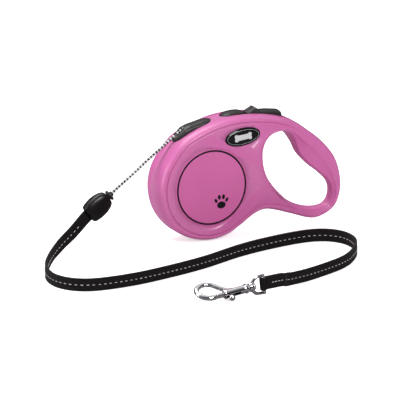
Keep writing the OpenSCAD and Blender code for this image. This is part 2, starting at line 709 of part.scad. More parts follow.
// Turns children so that their X runs from the eye's bar to the hook's tip
module along_hook() {
    translate(bar_at) rotate([0, hook_pitch, hook_yaw]) children();
}
module rolled() { rotate([180 - hook_roll, 0, 0]) children(); }
module x_bar(r, x0, x1) {
    translate([x0, 0, 0]) rotate([0, 90, 0]) cylinder(r = r, h = x1 - x0);
}

// A D-shaped frame with a bar through the strap's fold and a swivel boss
module swivel_eye() {
    side = eye_w / 2 + eye_wire_r;
    color(steel) in_frame() along_hook() difference() {
        union() {
            translate([0, 0, -side]) cylinder(r = eye_bar_r, h = 2 * side);
            for (s = [-1, 1]) {
                translate([0, 0, s * side]) x_bar(eye_wire_r, 0, eye_bend);
                for (x = [0, eye_bend]) translate([x, 0, s * side]) sphere(r = eye_wire_r);
                translate([eye_bend, 0, s * side]) rotate([0, 90 + s * 42, 0])
                    cylinder(r = eye_wire_r, h = 7.6);
            }
            x_bar(barrel_r, eye_reach - boss_t, eye_reach + 0.6);
        }
        x_bar(post_r + run_gap, eye_bend, barrel_x0);
        x_bar(post_head_r + 0.4, eye_bend + 1, eye_reach - boss_t);
    }
}
module hook_body() {
    // The wire: from the barrel over the ring's top, round the tip, back to the bolt
    path = concat([[barrel_x0 + 9, 2.2], [barrel_x0 + 14, 3.2], ring_at - [11, 1.8]],
                  [for (a = [160 : -20 : -100]) ring_at + polar(ring_r, a)]);
    color(steel) in_frame() along_hook() rolled() difference() {
        union() {
            rod_along([for (p = open_curve(path, 2)) [p[0], p[1], 0]],
                      hook_wire_r, [0, 0, 1], 12);
            x_bar(barrel_r, barrel_x0, barrel_x0 + barrel_len);
            x_bar(3.8, barrel_x0, barrel_x0 + 1.6);
            x_bar(3.6, barrel_x0 + barrel_len - 2.4, barrel_x0 + barrel_len - 1);
            x_bar(post_r, eye_reach - boss_t - 0.6, barrel_x0 + 1);
            x_bar(post_head_r, eye_reach - 4.4, eye_reach - boss_t - 0.2);
        }
        x_bar(bolt_r + run_gap, bore_x0, ring_at[0] - 1.9);
        // The slot that the bolt's knob slides in
        block([barrel_x0 + barrel_len - 5 - bolt_travel, -6, -1.15],
              [barrel_x0 + barrel_len + 1, 0, 1.15]);
    }
}
module hook_bolt() {
    knob_x = barrel_x0 + barrel_len - 3.6;
    bolt_x0 = bore_x0 + bolt_travel + 1;
    color(steel) in_frame() along_hook() rolled() {
        x_bar(bolt_r, bolt_x0, ring_at[0] - 2.2);
        translate([knob_x, 0, 0]) rotate([90, 0, 0]) cylinder(r = 1.05, h = 5.4);
        translate([knob_x, -6, 0]) sphere(r = 2.1);
    }
}
module bolt_spring() {
    turns = 6;
    steps = 12;
    x0 = bore_x0 + 0.3;
    x1 = bore_x0 + bolt_travel + 0.7;
    color(steel) in_frame() along_hook() rolled()
        rod_along([for (k = [0 : turns * steps])
            [mix(x0, x1, k / (turns * steps)), 1.35 * cos(360 * k / steps),
             1.35 * sin(360 * k / steps)]], 0.25, [1, 0, 0], 6);
}

left_shell();
right_shell();
left_label();
right_label();
left_badge();
right_badge();
case_screws();
cord_outlet();
spool_axle();
spool();
spring_cover();
mainspring();
wound_cord();
cord_lead();
brake_button();
button_pin();
button_spring();
lock_slider();
brake_pawl();
pawl_pin();
drawn_cord();
cord_stop();
connector();
connector_pin();
strap();
strap_stitching();
swivel_eye();
hook_body();
hook_bolt();
bolt_spring();
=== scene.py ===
"""Looks of a retractable cord leash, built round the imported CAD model.

Lengths are millimetres about the case's parting plane: x from the cord side to the
hand loop, y away from the viewer, z up, with the spool's axis at x = z = 0. to_row()
turns them into the CAD frame in metres.
"""
import math

import bpy
import bmesh
import numpy as np
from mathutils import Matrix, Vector
from mathutils.geometry import tessellate_polygon


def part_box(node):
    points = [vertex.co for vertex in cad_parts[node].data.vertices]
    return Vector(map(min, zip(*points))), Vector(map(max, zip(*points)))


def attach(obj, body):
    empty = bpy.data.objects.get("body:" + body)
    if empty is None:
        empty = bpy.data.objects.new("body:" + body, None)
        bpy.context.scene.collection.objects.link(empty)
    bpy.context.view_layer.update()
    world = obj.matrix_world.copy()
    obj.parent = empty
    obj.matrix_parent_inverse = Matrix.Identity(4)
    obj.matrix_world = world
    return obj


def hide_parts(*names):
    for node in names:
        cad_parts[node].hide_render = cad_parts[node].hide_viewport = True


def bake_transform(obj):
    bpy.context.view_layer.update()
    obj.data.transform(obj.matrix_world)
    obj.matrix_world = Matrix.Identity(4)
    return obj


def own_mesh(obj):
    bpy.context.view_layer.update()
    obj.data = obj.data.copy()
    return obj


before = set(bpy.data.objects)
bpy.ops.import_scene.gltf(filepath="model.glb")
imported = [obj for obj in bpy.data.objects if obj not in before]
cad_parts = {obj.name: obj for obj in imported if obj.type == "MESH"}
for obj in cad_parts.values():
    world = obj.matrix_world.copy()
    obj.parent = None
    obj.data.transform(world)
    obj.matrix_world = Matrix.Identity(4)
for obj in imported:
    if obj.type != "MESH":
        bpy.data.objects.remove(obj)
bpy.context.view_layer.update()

MM = 0.001
MID_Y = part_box("left_shell")[1].y / MM
HALF_T = -MID_Y
CASE, LEASH_END = "case", "leash_end"
SIDES = ((-1, "left"), (1, "right"))

# ---------- driving sizes ----------
SPLINE_STEPS = 10
EDGE_ROUND = 4.1
HOLE_ROUND = 2.2
SEAM = 0.4
GROOVE_W, GROOVE_DEPTH = 1.0, 0.8
LABEL_R = 29.6
INLAY_T = 0.5
BADGE_AT, BADGE_SIZE, BADGE_TILT = (25.5, 35.8), (14.4, 6.75), math.radians(6)
PRINT_T, PRINT_RING = 0.06, (27.1, 28.5)
CORD_R = 1.15
CORD_SLOPE = math.radians(36.6)
# Where the cord leaves the nozzle, its bend inside, and how much of it is drawn out
LIP = (-22.5, 40.0)
CORD_BEND = [(LIP[0], 0, LIP[1]), (-16.8, 0, 43.5), (-13.2, 0, 43.9)]
CORD_OUT = 69.6
OUTLET_W, BUTTON_W = 12.0, 11.0
STRAP_W, STRAP_T = 9.8, 1.8
STITCH_PITCH, STITCH_LEN, STITCH_R = 4.3, 1.9, 0.3
# The floor's height, the bar of the hook's eye, and how the hook lies
GROUND = -41.5
BAR_AT = np.array((-29.6, -160.6, GROUND + 7.6))
HOOK_YAW, HOOK_PITCH, HOOK_ROLL = math.radians(184.8), math.radians(6), math.radians(162)

# Each row of the case: outline x, z, hand hole x, z, half thickness by the outline and
# by the hole, distance from the hole to the side face's edge, depth of the face groove.
# FULL is the end of a row where the case is as thick as it gets.
FULL = (HALF_T, HALF_T, 2.6, 1)
CASE_ROWS = [
    (88, -36.2, 88, -28, 6.8, 6.0, 2.8, 0),
    (99.8, -33.4, 97.5, -27.7, 6.6, 5.8, 2.8, 0),
    (107.9, -26.4, 102.4, -24, 6.5, 5.6, 2.8, 0),
    (111.6, -15.8, 104, -16.9, 6.5, 5.4, 2.9, 0),
    (111, -4, 101.6, -9.6, 6.8, 5.2, 4.6, 0),
    (107.1, 8, 94.2, -2.1, 7.4, 5.0, 9.2, 0),
    (100.4, 17.6, 85.2, 5.3, 8.2, 5.0, 12.2, 0),
    (92.4, 25.7, 76.9, 14.5, 9.2, 5.6, 12, 0),
    (83.7, 32.6, 73.2, 22.5, 10.2, 7.0, 6.9, 0.1),
    (74.7, 39.2, 68.8, 29.5, 11.4, 9.6, 4.2, 0.4),
    (66, 43.9, 63.2, 33.8, 12.6, 12.0, 3.2, 0.8),
    (56, 47.2, 57, 35, HALF_T, HALF_T, 2.8, 1),
    (45, 49.4, 50, 32.9, *FULL), (33, 50.6, 46, 28.6, *FULL), (20, 50.6, 44.1, 23, *FULL),
    (8, 48.9, 43.8, 18.6, *FULL), (-4, 45.4, 44, 15, *FULL), (-15, 41, 44.2, 13.2, *FULL),
    (-24, 35.4, 44.5, 11.5, *FULL)]
BODY_R = 41.4
# The round part of the outline: angle in degrees, and the hand hole point across
ROUND_ROWS = [(142, 44.8, 10.1), (160, 45.1, 8.7), (180, 45.6, 7.2), (203, 46.1, 5.6),
              (226, 46.8, 3.9), (249, 47.7, 2), (271, 48.7, 0.2), (291, 50, -1.7)]
CASE_ROWS += [(BODY_R * math.cos(math.radians(a)), BODY_R * math.sin(math.radians(a)),
               x, z, *FULL) for a, x, z in ROUND_ROWS]
CASE_ROWS += [
    (25.8, -32.8, 51.7, -4.1, *FULL),
    (36, -26.6, 54.6, -7.7, 13.4, HALF_T, 2.6, 1),
    (46, -24, 60, -13.2, 11.8, 13.2, 2.6, 0.8),
    (57, -26.2, 67.5, -19.6, 9.8, 10, 2.6, 0.5),
    (70, -30.6, 77, -25, 7.9, 7.4, 2.6, 0.2)]


# ---------- numbers and curves ----------
def to_row(points):
    """Drawing coordinates in millimetres to the CAD frame in metres."""
    return (np.asarray(points, float) + (0, MID_Y, 0)) * MM


def catmull(points, steps, closed=False):
    """A smooth curve through the points, of any dimension."""
    p = np.array(points, float)
    n = len(p)
    curve = []
    for i in range(n if closed else n - 1):
        near = (i - 1, i, i + 1, i + 2)
        a, b, c, d = (p[k % n] if closed else p[min(max(k, 0), n - 1)] for k in near)
        for k in range(steps):
            t = k / steps
            curve.append(0.5 * (2 * b + (c - a) * t + (2 * a - 5 * b + 4 * c - d) * t * t
                                + (3 * b - a - 3 * c + d) * t ** 3))
    if not closed:
        curve.append(p[-1])
    return np.array(curve)


def left_of(line):
    """The unit normal to the left of a closed line in the plane, at each point."""
    t = np.roll(line, -1, 0) - np.roll(line, 1, 0)
    t /= np.linalg.norm(t, axis=1)[:, None]
    return np.stack([-t[:, 1], t[:, 0]], 1)


def turns(sides):
    """Evenly spaced angles round a circle."""
    return np.linspace(0, 2 * math.pi, sides, endpoint=False)


def arc_lengths(path):
    return np.concatenate([[0], np.cumsum(np.linalg.norm(np.diff(path, axis=0), axis=1))])


def sampled(at, key, values):
    """Rows of values, given at the lengths key, at other lengths."""
    return np.stack([np.interp(at, key, values[:, k]) for k in range(values.shape[1])], 1)


def resample(path, spacing):
    """The path with evenly spaced points, about spacing apart."""
    s = arc_lengths(path)
    even = np.linspace(0, s[-1], max(int(round(s[-1] / spacing)), 2) + 1)
    return sampled(even, s, path)


def unit(v):
    v = np.asarray(v, float)
    return v / np.linalg.norm(v, axis=-1, keepdims=True)


def tangents(path):
    return unit(np.gradient(path, axis=0))


def frames(path, up):
    """For each point of a path: two directions across it, the second nearest to up."""
    t = tangents(path)
    first = unit(np.cross(t, np.broadcast_to(np.asarray(up, float), t.shape)))
    return first, np.cross(first, t)


def rounded(angle, power):
    """Share inwards and share upwards of a rounded edge, at an angle of its turn."""
    return 1 - math.cos(angle) ** (2 / power), math.sin(angle) ** (2 / power)


# ---------- mesh pieces ----------
def linked(name, data):
    """A new object in the scene."""
    obj = bpy.data.objects.new(name, data)
    bpy.context.scene.collection.objects.link(obj)
    return obj


def formed(name, verts, faces):
    """A new mesh object in the CAD frame, with its faces turned outwards."""
    mesh = bpy.data.meshes.new(name)
    mesh.from_pydata([tuple(v) for v in to_row(verts)], [], faces)
    bm = bmesh.new()
    bm.from_mesh(mesh)
    bmesh.ops.recalc_face_normals(bm, faces=bm.faces)
    bm.to_mesh(mesh)
    bm.free()
    return linked(name, mesh)


def piece(name, verts, faces, material, body, node=None, angle=32, attributes=None):
    """A new object that rides on a body and may stand for a CAD node."""
    obj = formed(name, verts, faces)
    for key, values in (attributes or {}).items():
        layer = obj.data.attributes.new(key, "FLOAT_VECTOR", "POINT")
        layer.data.foreach_set("vector", np.asarray(values, np.float32).ravel())
    return settle(obj, material, body, node, angle)


def settle(obj, material, body, node, angle=32):
    """Gives a formed object its look, its body and the CAD node it stands for."""
    obj.data.materials.clear()
    obj.data.materials.append(MATERIALS[material])
    smooth(obj.data, angle)
    if body:
        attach(obj, body)
    if node:
        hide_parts(node)
    return obj


def smooth(mesh, angle):
    mesh.polygons.foreach_set("use_smooth", [True] * len(mesh.polygons))
    mesh.set_sharp_from_angle(angle=math.radians(angle))


def skin(rings, closed=False, caps=True):
    """Vertices and faces of a tube through rings of equal length."""
    rings = [np.asarray(r, float) for r in rings]
    m, n = len(rings), len(rings[0])
    faces = []
    for i in range(m if closed else m - 1):
        a, b = i * n, (i + 1) % m * n
        faces += [(a + j, a + (j + 1) % n, b + (j + 1) % n, b + j) for j in range(n)]
    if caps and not closed:
        faces += [tuple(range(n - 1, -1, -1)), tuple(range((m - 1) * n, m * n))]
    return np.concatenate(rings), faces


def join(parts):
    """Several (vertices, faces) as one."""
    verts, faces, base = [], [], 0
    for v, f in parts:
        verts.append(np.asarray(v, float))
        faces += [tuple(i + base for i in face) for face in f]
        base += len(v)
    return np.concatenate(verts), faces


def tube(path, radius, sides=16, up=(0, 0, 1), flat=1.0, ends=True):
    """A round rod along a path. radius is a number or one per point; flat squeezes it along up."""
    path = np.asarray(path, float)
    radius = np.broadcast_to(radius, len(path))
    u, v = frames(path, up)
    c, s = np.cos(turns(sides))[:, None], flat * np.sin(turns(sides))[:, None]
    rings = [p + r * (c * a + s * b) for p, r, a, b in zip(path, radius, u, v)]
    return skin(rings, caps=ends)


def around(axis, sides):
    """The unit axis and the directions square to it, all the way round."""
    axis = unit(axis)
    u = unit(np.cross(axis, (0.31, 0.95, 0.05)))
    v = np.cross(axis, u)
    q = turns(sides)
    return axis, np.cos(q)[:, None] * u + np.sin(q)[:, None] * v


def lathe(profile, centre, axis, sides=48):
    """A solid of revolution: profile rows are (distance along the axis, radius)."""
    axis, out = around(axis, sides)
    return skin([np.asarray(centre) + h * axis + r * out for h, r in profile])


def ring_of(profile, centre, axis, sides=64):
    """A solid of revolution whose profile is a closed outline."""
    axis, out = around(axis, sides)
    h, r = np.array(profile).T
    return skin([np.asarray(centre) + h[:, None] * axis + r[:, None] * o for o in out], closed=True)


def prism(outline, y0, y1):
    """An outline in x and z, extruded along y."""
    return skin([[(x, y, z) for x, z in outline] for y in (y0, y1)])


def prism_up(outline, z0, z1):
    """An outline in x and y, extruded along z."""
    return skin([[(x, y, z) for x, y in outline] for z in (z0, z1)])


def scratch(part):
    """An object that isn't a piece yet: a cutter, or a piece still to be cut."""
    return formed("cutter", *part)


def bake_modifiers(obj):
    graph = bpy.context.evaluated_depsgraph_get()
    old = obj.data
    obj.data = bpy.data.meshes.new_from_object(obj.evaluated_get(graph))
    obj.modifiers.clear()
    bpy.data.meshes.remove(old)


def carve(obj, cutter, operation="DIFFERENCE"):
    """Applies one boolean and removes the cutter."""
    step = obj.modifiers.new("carve", "BOOLEAN")
    step.operation, step.solver, step.object = operation, "EXACT", cutter
    bake_modifiers(obj)
    bpy.data.objects.remove(cutter)
    return obj


def carved(obj, parts, operation="DIFFERENCE"):
    for part in parts:
        carve(obj, scratch(part), operation)
    return obj


# ---------- materials ----------
# The materials, by their names
MATERIALS = {}
# The looks of the CAD nodes that stay
CARRIED = {"spool": "grey_plastic", "spring_cover": "grey_plastic", "mainspring": "spring_steel",
           "wound_cord": "cord_coils"}
CARRIED.update(dict.fromkeys(
    ("spool_axle", "brake_pawl", "pawl_pin", "button_pin", "connector_pin"), "bright_steel"))


class Tree:
    """A node tree, of a new material or the one given, with short ways to add to it."""

    def __init__(self, name, tree=None):
        if tree:
            self.tree = tree
            return
        self.material = bpy.data.materials.new(name)
        self.material.use_nodes = True
        self.tree = self.material.node_tree
        self.surface = self.tree.nodes["Principled BSDF"]
        self.mm = self.add("VectorMath", {"operation": "SCALE"},
                           {0: self.add("TexCoord").outputs["Object"], "Scale": 1 / MM}).outputs[0]
        MATERIALS[name] = self.material

    def add(self, kind, settings=None, inputs=None):
        node = self.tree.nodes.new("ShaderNode" + kind)
        for key, value in (settings or {}).items():
            setattr(node, key, value)
        for key, value in (inputs or {}).items():
            self.feed(node.inputs[key], value)
        return node

    def feed(self, socket, value):
        if isinstance(value, bpy.types.NodeSocket):
            self.tree.links.new(value, socket)
        else:
            socket.default_value = value

    def noise(self, scale, detail=2.0, rough=0.5, coords=None):
        return self.add("TexNoise", None, {"Vector": coords or self.mm, "Scale": scale,
                                           "Detail": detail, "Roughness": rough}).outputs[0]

    def remap(self, value, low, high, to_low, to_high, kind="LINEAR"):
        return self.add("MapRange", {"interpolation_type": kind},
                        {"Value": value, "From Min": low, "From Max": high,
                         "To Min": to_low, "To Max": to_high}).outputs[0]

    def math(self, operation, a, b=0.0):
        return self.add("Math", {"operation": operation}, {0: a, 1: b}).outputs[0]

    def mix(self, factor, a, b):
        node = self.add("Mix", {"data_type": "RGBA"})
        for key, value in ((0, factor), (6, a), (7, b)):
            self.feed(node.inputs[key], value)
        return node.outputs[2]

    def bump(self, heights):
        """Stacks bumps: each is (height, strength, depth in millimetres)."""
        normal = None
        for height, strength, depth in heights:
            inputs = {"Height": height, "Strength": strength, "Distance": depth * MM}
            if normal:
                inputs["Normal"] = normal
            normal = self.add("Bump", None, inputs).outputs[0]
        self.feed(self.surface.inputs["Normal"], normal)

    def set(self, **values):
        for key, value in values.items():
            self.feed(self.surface.inputs[key.replace("_", " ")], value)


GRAIN_SIZE, FILAMENT = 0.35, 0.16


def rgba(colour, gain=1.0):
    return (*[min(c * gain, 1) for c in colour], 1)


def plastic(name, colour, rough, grain=0.2, coat=0.0, worn=0.25, tint=0.07, subsurface=0.0):
    """Moulded plastic: fine grain, faint flow marks, gently paler edges, handled patches."""
    m = Tree(name)
    flow = m.noise(0.045, 3)
    body = m.mix(m.remap(flow, 0.35, 0.65, 0, 1), rgba(colour, 1 - tint), rgba(colour, 1 + tint))
    edge = m.remap(m.add("NewGeometry").outputs["Pointiness"], 0.505, 0.56, 0, worn)
    scuff = m.math("MULTIPLY", edge, m.remap(m.noise(0.8, 4, 0.7), 0.4, 0.65, 0.35, 1))
    pale = tuple(c + (1 - c) * 0.45 for c in colour)
    m.set(Base_Color=m.mix(scuff, body, rgba(pale)))
    m.set(Roughness=m.remap(m.noise(0.1, 3, 0.6), 0.3, 0.7, rough - 0.012, rough + 0.02))
    m.set(Coat_Weight=coat, Coat_Roughness=0.12, IOR=1.45)
    if subsurface:
        m.set(Subsurface_Weight=subsurface, Subsurface_Radius=(1.0, 0.35, 0.6),
              Subsurface_Scale=0.8 * MM)
    m.bump([(m.noise(0.05, 1), 0.1, 0.25), (m.noise(1 / GRAIN_SIZE, 2, 0.5), grain, 0.05)])


def gloss(name, colour, rough):
    """Domed glossy resin with dust specks and faint swirl scratches."""
    m = Tree(name)
    specks = m.remap(m.noise(2.2, 2), 0.74, 0.8, 0, 0.25)
    m.set(Base_Color=m.mix(specks, rgba(colour), (0.25, 0.25, 0.27, 1)))
    m.set(Roughness=m.remap(m.noise(0.6, 6, 0.75), 0.35, 0.7, rough, rough + 0.08))
    m.set(IOR=1.35)
    m.bump([(m.noise(0.15, 2), 0.1, 0.15)])


def metal(name, colour, rough, brushed=0.0, stain_and_reflection_tint=(0.5, 0.5, 0.52)):
    """Metal with fine scratches, a little haze and soft dents; on chrome the haze colour is partly
    painted pink reflection.
    """
    m = Tree(name)
    haze_and_reflection = m.remap(m.noise(0.35, 5, 0.7), 0.45, 0.75, 0, 0.35)
    m.set(Base_Color=m.mix(haze_and_reflection, rgba(colour), rgba(stain_and_reflection_tint)), Metallic=1.0)
    stretched = m.add("VectorMath", {"operation": "MULTIPLY"}, {0: m.mm, 1: (1, 14, 14)}).outputs[0]
    scratches = m.noise(0.9, 6, 0.8, stretched)
    m.set(Roughness=m.remap(scratches, 0.3, 0.75, rough, rough + 0.08 + brushed))
    m.bump([(m.noise(0.3, 2), 0.08, 0.12), (scratches, 0.05 + brushed, 0.03)])


def fibre(name, colour, lighter, rough=0.75, sheen=0.2):
    """Braided or sewn yarn: fine filaments, soft sheen, slight colour change."""
    m = Tree(name)
    hair = m.noise(1 / FILAMENT, 4, 0.7)
    m.set(Base_Color=m.mix(m.remap(hair, 0.3, 0.7, 0, 1), rgba(colour), rgba(lighter)))
    m.set(Roughness=rough, Sheen_Weight=sheen, Sheen_Roughness=0.5, IOR=1.35)
    m.bump([(hair, 0.5, 0.08)])


def coils(name):
    """The wound cord: turns side by side, each with white and black strands."""
    m = Tree(name)
    place = m.add("SeparateXYZ", None, {0: m.mm}).outputs
    squares = [m.math("POWER", place[k], 2.0) for k in (0, 2)]
    out = m.math("SQRT", m.math("ADD", *squares))
    around = m.math("ARCTAN2", place[2], place[0])
    waves = [m.math("SINE", m.math("MULTIPLY", way, math.pi / (2 * CORD_R)))
             for way in (place[1], out)]
    turn, layer = (m.math("ABSOLUTE", wave) for wave in waves)
    lay = m.math("ADD", m.math("MULTIPLY", around, 60.0), m.math("MULTIPLY", place[1], 5.0))
    strand = m.remap(m.math("SINE", lay), 0.35, 0.55, 0, 1)
    hair = m.noise(6, 4, 0.7)
    m.set(Base_Color=m.mix(strand, (0.66, 0.66, 0.67, 1), (0.012, 0.012, 0.013, 1)),
          Roughness=0.75, Sheen_Weight=0.15)
    m.bump([(turn, 0.8, 0.5), (layer, 0.5, 0.3), (m.math("SINE", lay), 0.3, 0.15),
            (hair, 0.4, 0.08)])


def webbing(name, dark, light):
    """Woven tape. The weave follows the piece's own (across, along) millimetres."""
    m = Tree(name)
    lay = m.add("SeparateXYZ", None, {0: m.add("Attribute", {"attribute_name": "lay"}).outputs[1]})
    across, along = lay.outputs[0], lay.outputs[1]
    warp = m.math("SINE", m.math("MULTIPLY", across, 2 * math.pi / 1.05))
    weft = m.math("SINE", m.math("MULTIPLY", m.math("ADD", along, m.math("MULTIPLY", across, 0.5)),
                                 2 * math.pi / 1.5))
    weave = m.remap(m.math("MULTIPLY", warp, weft), -1, 1, 0, 1)
    hair = m.noise(4.5, 4, 0.75)
    tone = m.math("MULTIPLY", weave, m.remap(hair, 0.3, 0.7, 0.3, 1.0))
    m.set(Base_Color=m.mix(tone, rgba(dark), rgba(light)), Roughness=0.72,
          Sheen_Weight=0.03, Sheen_Roughness=0.45, IOR=1.3)
    m.bump([(weave, 0.7, 0.22), (hair, 0.35, 0.1)])


def make_materials():
    pink = (0.66, 0.15, 0.41)
    plastic("pink_shell", pink, 0.3, grain=0.08, coat=0.15, subsurface=0.1, tint=0.02)
    plastic("label_pink", (0.66, 0.14, 0.39), 0.3, grain=0.05, worn=0.0, coat=0.1, tint=0.015)
    plastic("black_plastic", (0.008, 0.006, 0.007), 0.4, grain=0.25, tint=0.3, worn=0.08)
    plastic("dark_satin", (0.022, 0.018, 0.018), 0.3, grain=0.2, tint=0.15, worn=0.12)
    plastic("connector_black", (0.006, 0.003, 0.004), 0.33, grain=0.15, tint=0.3, worn=0.1)
    plastic("grey_plastic", (0.28, 0.28, 0.29), 0.45, grain=0.3)
    gloss("badge_black", (0.008, 0.008, 0.01), 0.05)
    plastic("ink", (0.002, 0.001, 0.003), 0.5, grain=0.1, worn=0.0, tint=0.2)
    plastic("badge_print", (0.66, 0.66, 0.68), 0.3, grain=0.2, worn=0.1)
    fibre("cord_black", (0.003, 0.003, 0.003), (0.012, 0.012, 0.012), sheen=0.02)
    fibre("cord_white", (0.62, 0.63, 0.64), (0.86, 0.86, 0.86), sheen=0.2)
    fibre("thread", (0.55, 0.5, 0.53), (0.85, 0.8, 0.83), 0.5)
    coils("cord_coils")
    webbing("webbing", (0.002, 0.001, 0.002), (0.016, 0.011, 0.013))
    metal("bright_steel", (0.62, 0.62, 0.64), 0.22, 0.1)
    metal("spring_steel", (0.42, 0.44, 0.5), 0.26, 0.08)
    # The chrome's faint pink tint, in its colour and in its darker haze patches, is painted
    # reflection of the pink case; the darkening of the haze is real haze
    metal("chrome", (0.9, 0.88, 0.9), 0.05, stain_and_reflection_tint=(0.74, 0.71, 0.74))


# ---------- case ----------
ROWS = catmull(CASE_ROWS, SPLINE_STEPS, closed=True)
ROWS[:, 4:6] = np.minimum(ROWS[:, 4:6], HALF_T)
ROWS[:, 7] = np.clip(ROWS[:, 7], 0, 1)
OUTER, HOLE = ROWS[:, 0:2], ROWS[:, 2:4]
OUTER_IN, HOLE_IN = left_of(OUTER), -left_of(HOLE)
EDGE_POWER, HOLE_POWER = 2.7, 2.3


def case_rings(side):
    """Rings from the outline over the side face to the hand hole, on one side (-1 left)."""
    outer_t, hole_t, flare, groove = ROWS[:, 4], ROWS[:, 5], ROWS[:, 6], ROWS[:, 7]
    rings = []

    def ring(flat, height):
        height = np.broadcast_to(height, len(flat))
        rings.append(np.stack([flat[:, 0], side * height, flat[:, 1]], 1))

    def from_outline(distance):
        return OUTER + OUTER_IN * np.reshape(distance, (-1, 1))

    def from_hole(distance):
        return HOLE + HOLE_IN * np.reshape(distance, (-1, 1))

    # The side face is narrow round the grip: there the edge and the groove give way
    room = 0.95 * np.linalg.norm(OUTER - HOLE, axis=1) - flare - 0.45
    groove_w = GROOVE_W * np.clip((room - EDGE_ROUND) / GROOVE_W, 0.25, 1)
    edge = np.minimum(EDGE_ROUND, room - groove_w)
    # The seam's small chamfer, then the rounded edge
    ring(from_outline(SEAM), 0)
    ring(from_outline(0), SEAM)
    for turn in np.linspace(0.12, 1, 11) * math.pi / 2:
        inwards, up = rounded(turn, EDGE_POWER)
        ring(from_outline(inwards * edge), SEAM + up * (outer_t - SEAM))
    # The groove round the side face
    for step, depth in ((0.05, 0.0), (0.35, 0.75), (0.5, 1.0), (0.65, 0.75), (0.95, 0.0)):
        ring(from_outline(edge + step * groove_w), outer_t - depth * GROOVE_DEPTH * groove)
    # The side face, up to its crisp edge by the hand hole
    start, stop = from_outline(edge + groove_w), from_hole(flare + 0.22)
    wide = np.clip((np.linalg.norm(stop - start, axis=1) - 0.4) / 3, 0, 1)
    for share in (0.02, 0.3, 0.6, 0.9):
        ring(start + (stop - start) * share, outer_t)
    ring(from_hole(flare + 0.12), outer_t - 0.05)
    ring(from_hole(flare), outer_t - 0.3 * (0.4 + 0.6 * wide))
    # The slope from there to the hole's rounded edge
    drop = np.maximum(flare - 0.25 - HOLE_ROUND, 0.02)
    for share in (0.0, 0.2, 0.45, 0.7, 1.0):
        ease = share ** 0.6
        ring(from_hole(HOLE_ROUND + drop * (1 - share)),
             outer_t - 0.12 + (hole_t - outer_t + 0.12) * ease)
    for turn in np.linspace(0.9, 0.1, 9) * math.pi / 2:
        inwards, up = rounded(turn, HOLE_POWER)
        ring(from_hole(inwards * HOLE_ROUND), SEAM + up * (hole_t - SEAM))
    ring(from_hole(0), SEAM)
    ring(from_hole(SEAM), 0)
    return rings


def bar(x, z, r, y0, y1, sides=64):
    return lathe([(0, r), (y1 - y0, r)], (x, y0, z), (0, 1, 0), sides)


def oval(gap, points=72):
    """The badge's outline, grown by gap."""
    q = turns(points)
    return on_badge((BADGE_SIZE[0] + gap) * np.cos(q), (BADGE_SIZE[1] + gap) * np.sin(q))


def on_badge(a, b):
    """Lengths along and across the badge's oval to x and z."""
    c, s = math.cos(BADGE_TILT), math.sin(BADGE_TILT)
    return np.stack([BADGE_AT[0] + a * c - b * s, BADGE_AT[1] + a * s + b * c], 1)


def stadium(w, x0, x1, both, gap=0.0, points=24):
    """A long plan outline, rounded at its left end, and at its right end too if both."""
    r = w / 2 + gap
    left = [(x0 + w / 2 + r * math.cos(a), r * math.sin(a))
            for a in np.linspace(math.pi / 2, 1.5 * math.pi, points)]
    if not both:
        return left + [(x1 + gap, -r), (x1 + gap, r)]
    return left + [(x1 - w / 2 + r * math.cos(a), r * math.sin(a))
                   for a in np.linspace(-math.pi / 2, math.pi / 2, points)]


SCREWS = [(46.5, -13), (67, 38.2), (97.3, 8), (4.9, 42.4)]
BRAKE_CAVITY = [(-10, 30), (-10, 40), (-6, 41.6), (6, 45.4), (20, 47.6), (33, 47.6), (46, 46.4),
                (58, 44), (64.4, 41.6), (62, 37.8), (53, 37.4), (46, 34.5), (42, 28),
                (40.9, 16), (36, 10), (10, 30)]
LOW_CAVITY = [(38, 10), (41.2, 8.6), (44.2, -1), (48, -7), (53, -13.4), (52, -19.6),
              (46, -20.4), (38, -22), (30, -25)]
BUTTON_X0, BUTTON_X1, SPRING_FOOT = 13.7, 62.0, (54, 37.9)
OUTLET_X0, OUTLET_X1 = -25.0, 5.4
AXLE_R, SPOOL_CHAMBER_R, CHAMBER_Y, CAVITY_Y = 5.0, 38.3, 12.0, 10.5


def case_hollow():
    """What both shells leave free: chamber, cavities, slots, recesses."""
    hollow = scratch(bar(0, 0, SPOOL_CHAMBER_R, -CHAMBER_Y, CHAMBER_Y, 128))
    rooms = [prism(form, -CAVITY_Y, CAVITY_Y) for form in (BRAKE_CAVITY, LOW_CAVITY)]
    carved(hollow, rooms, "UNION")
    bosses = [bar(x, z, 3.4, -20, 20, 32) for x, z in SCREWS if x < 90]
    seats = [ring_of([(-2, 8.5), (-2, AXLE_R + 0.1), (0.9, AXLE_R + 0.1), (0.9, 8.5)],
                     (0, s * (CHAMBER_Y - 0.8), 0), (0, -s, 0)) for s in (-1, 1)]
    carved(hollow, bosses + seats)
    slot = prism_up(stadium(BUTTON_W, BUTTON_X0, BUTTON_X1 + 0.4, False, 0.4), 40, 60)
    nose = prism_up(stadium(OUTLET_W, OUTLET_X0, OUTLET_X1, True, 0.1), 34.7, 60)
    recess = [(0, LABEL_R + 0.12), (INLAY_T, LABEL_R + 0.12), (INLAY_T + 0.3, LABEL_R + 0.45),
              (INLAY_T + 2, LABEL_R + 2.15)]
    recess_low = HALF_T - INLAY_T
    labels = [lathe(recess, (0, s * recess_low, 0), (0, s, 0), 160) for s in (-1, 1)]
    badges = [prism(oval(0.1), min(s * recess_low, s * 20), max(s * recess_low, s * 20))
              for s in (-1, 1)]
    return carved(hollow, [slot, nose] + labels + badges, "UNION")


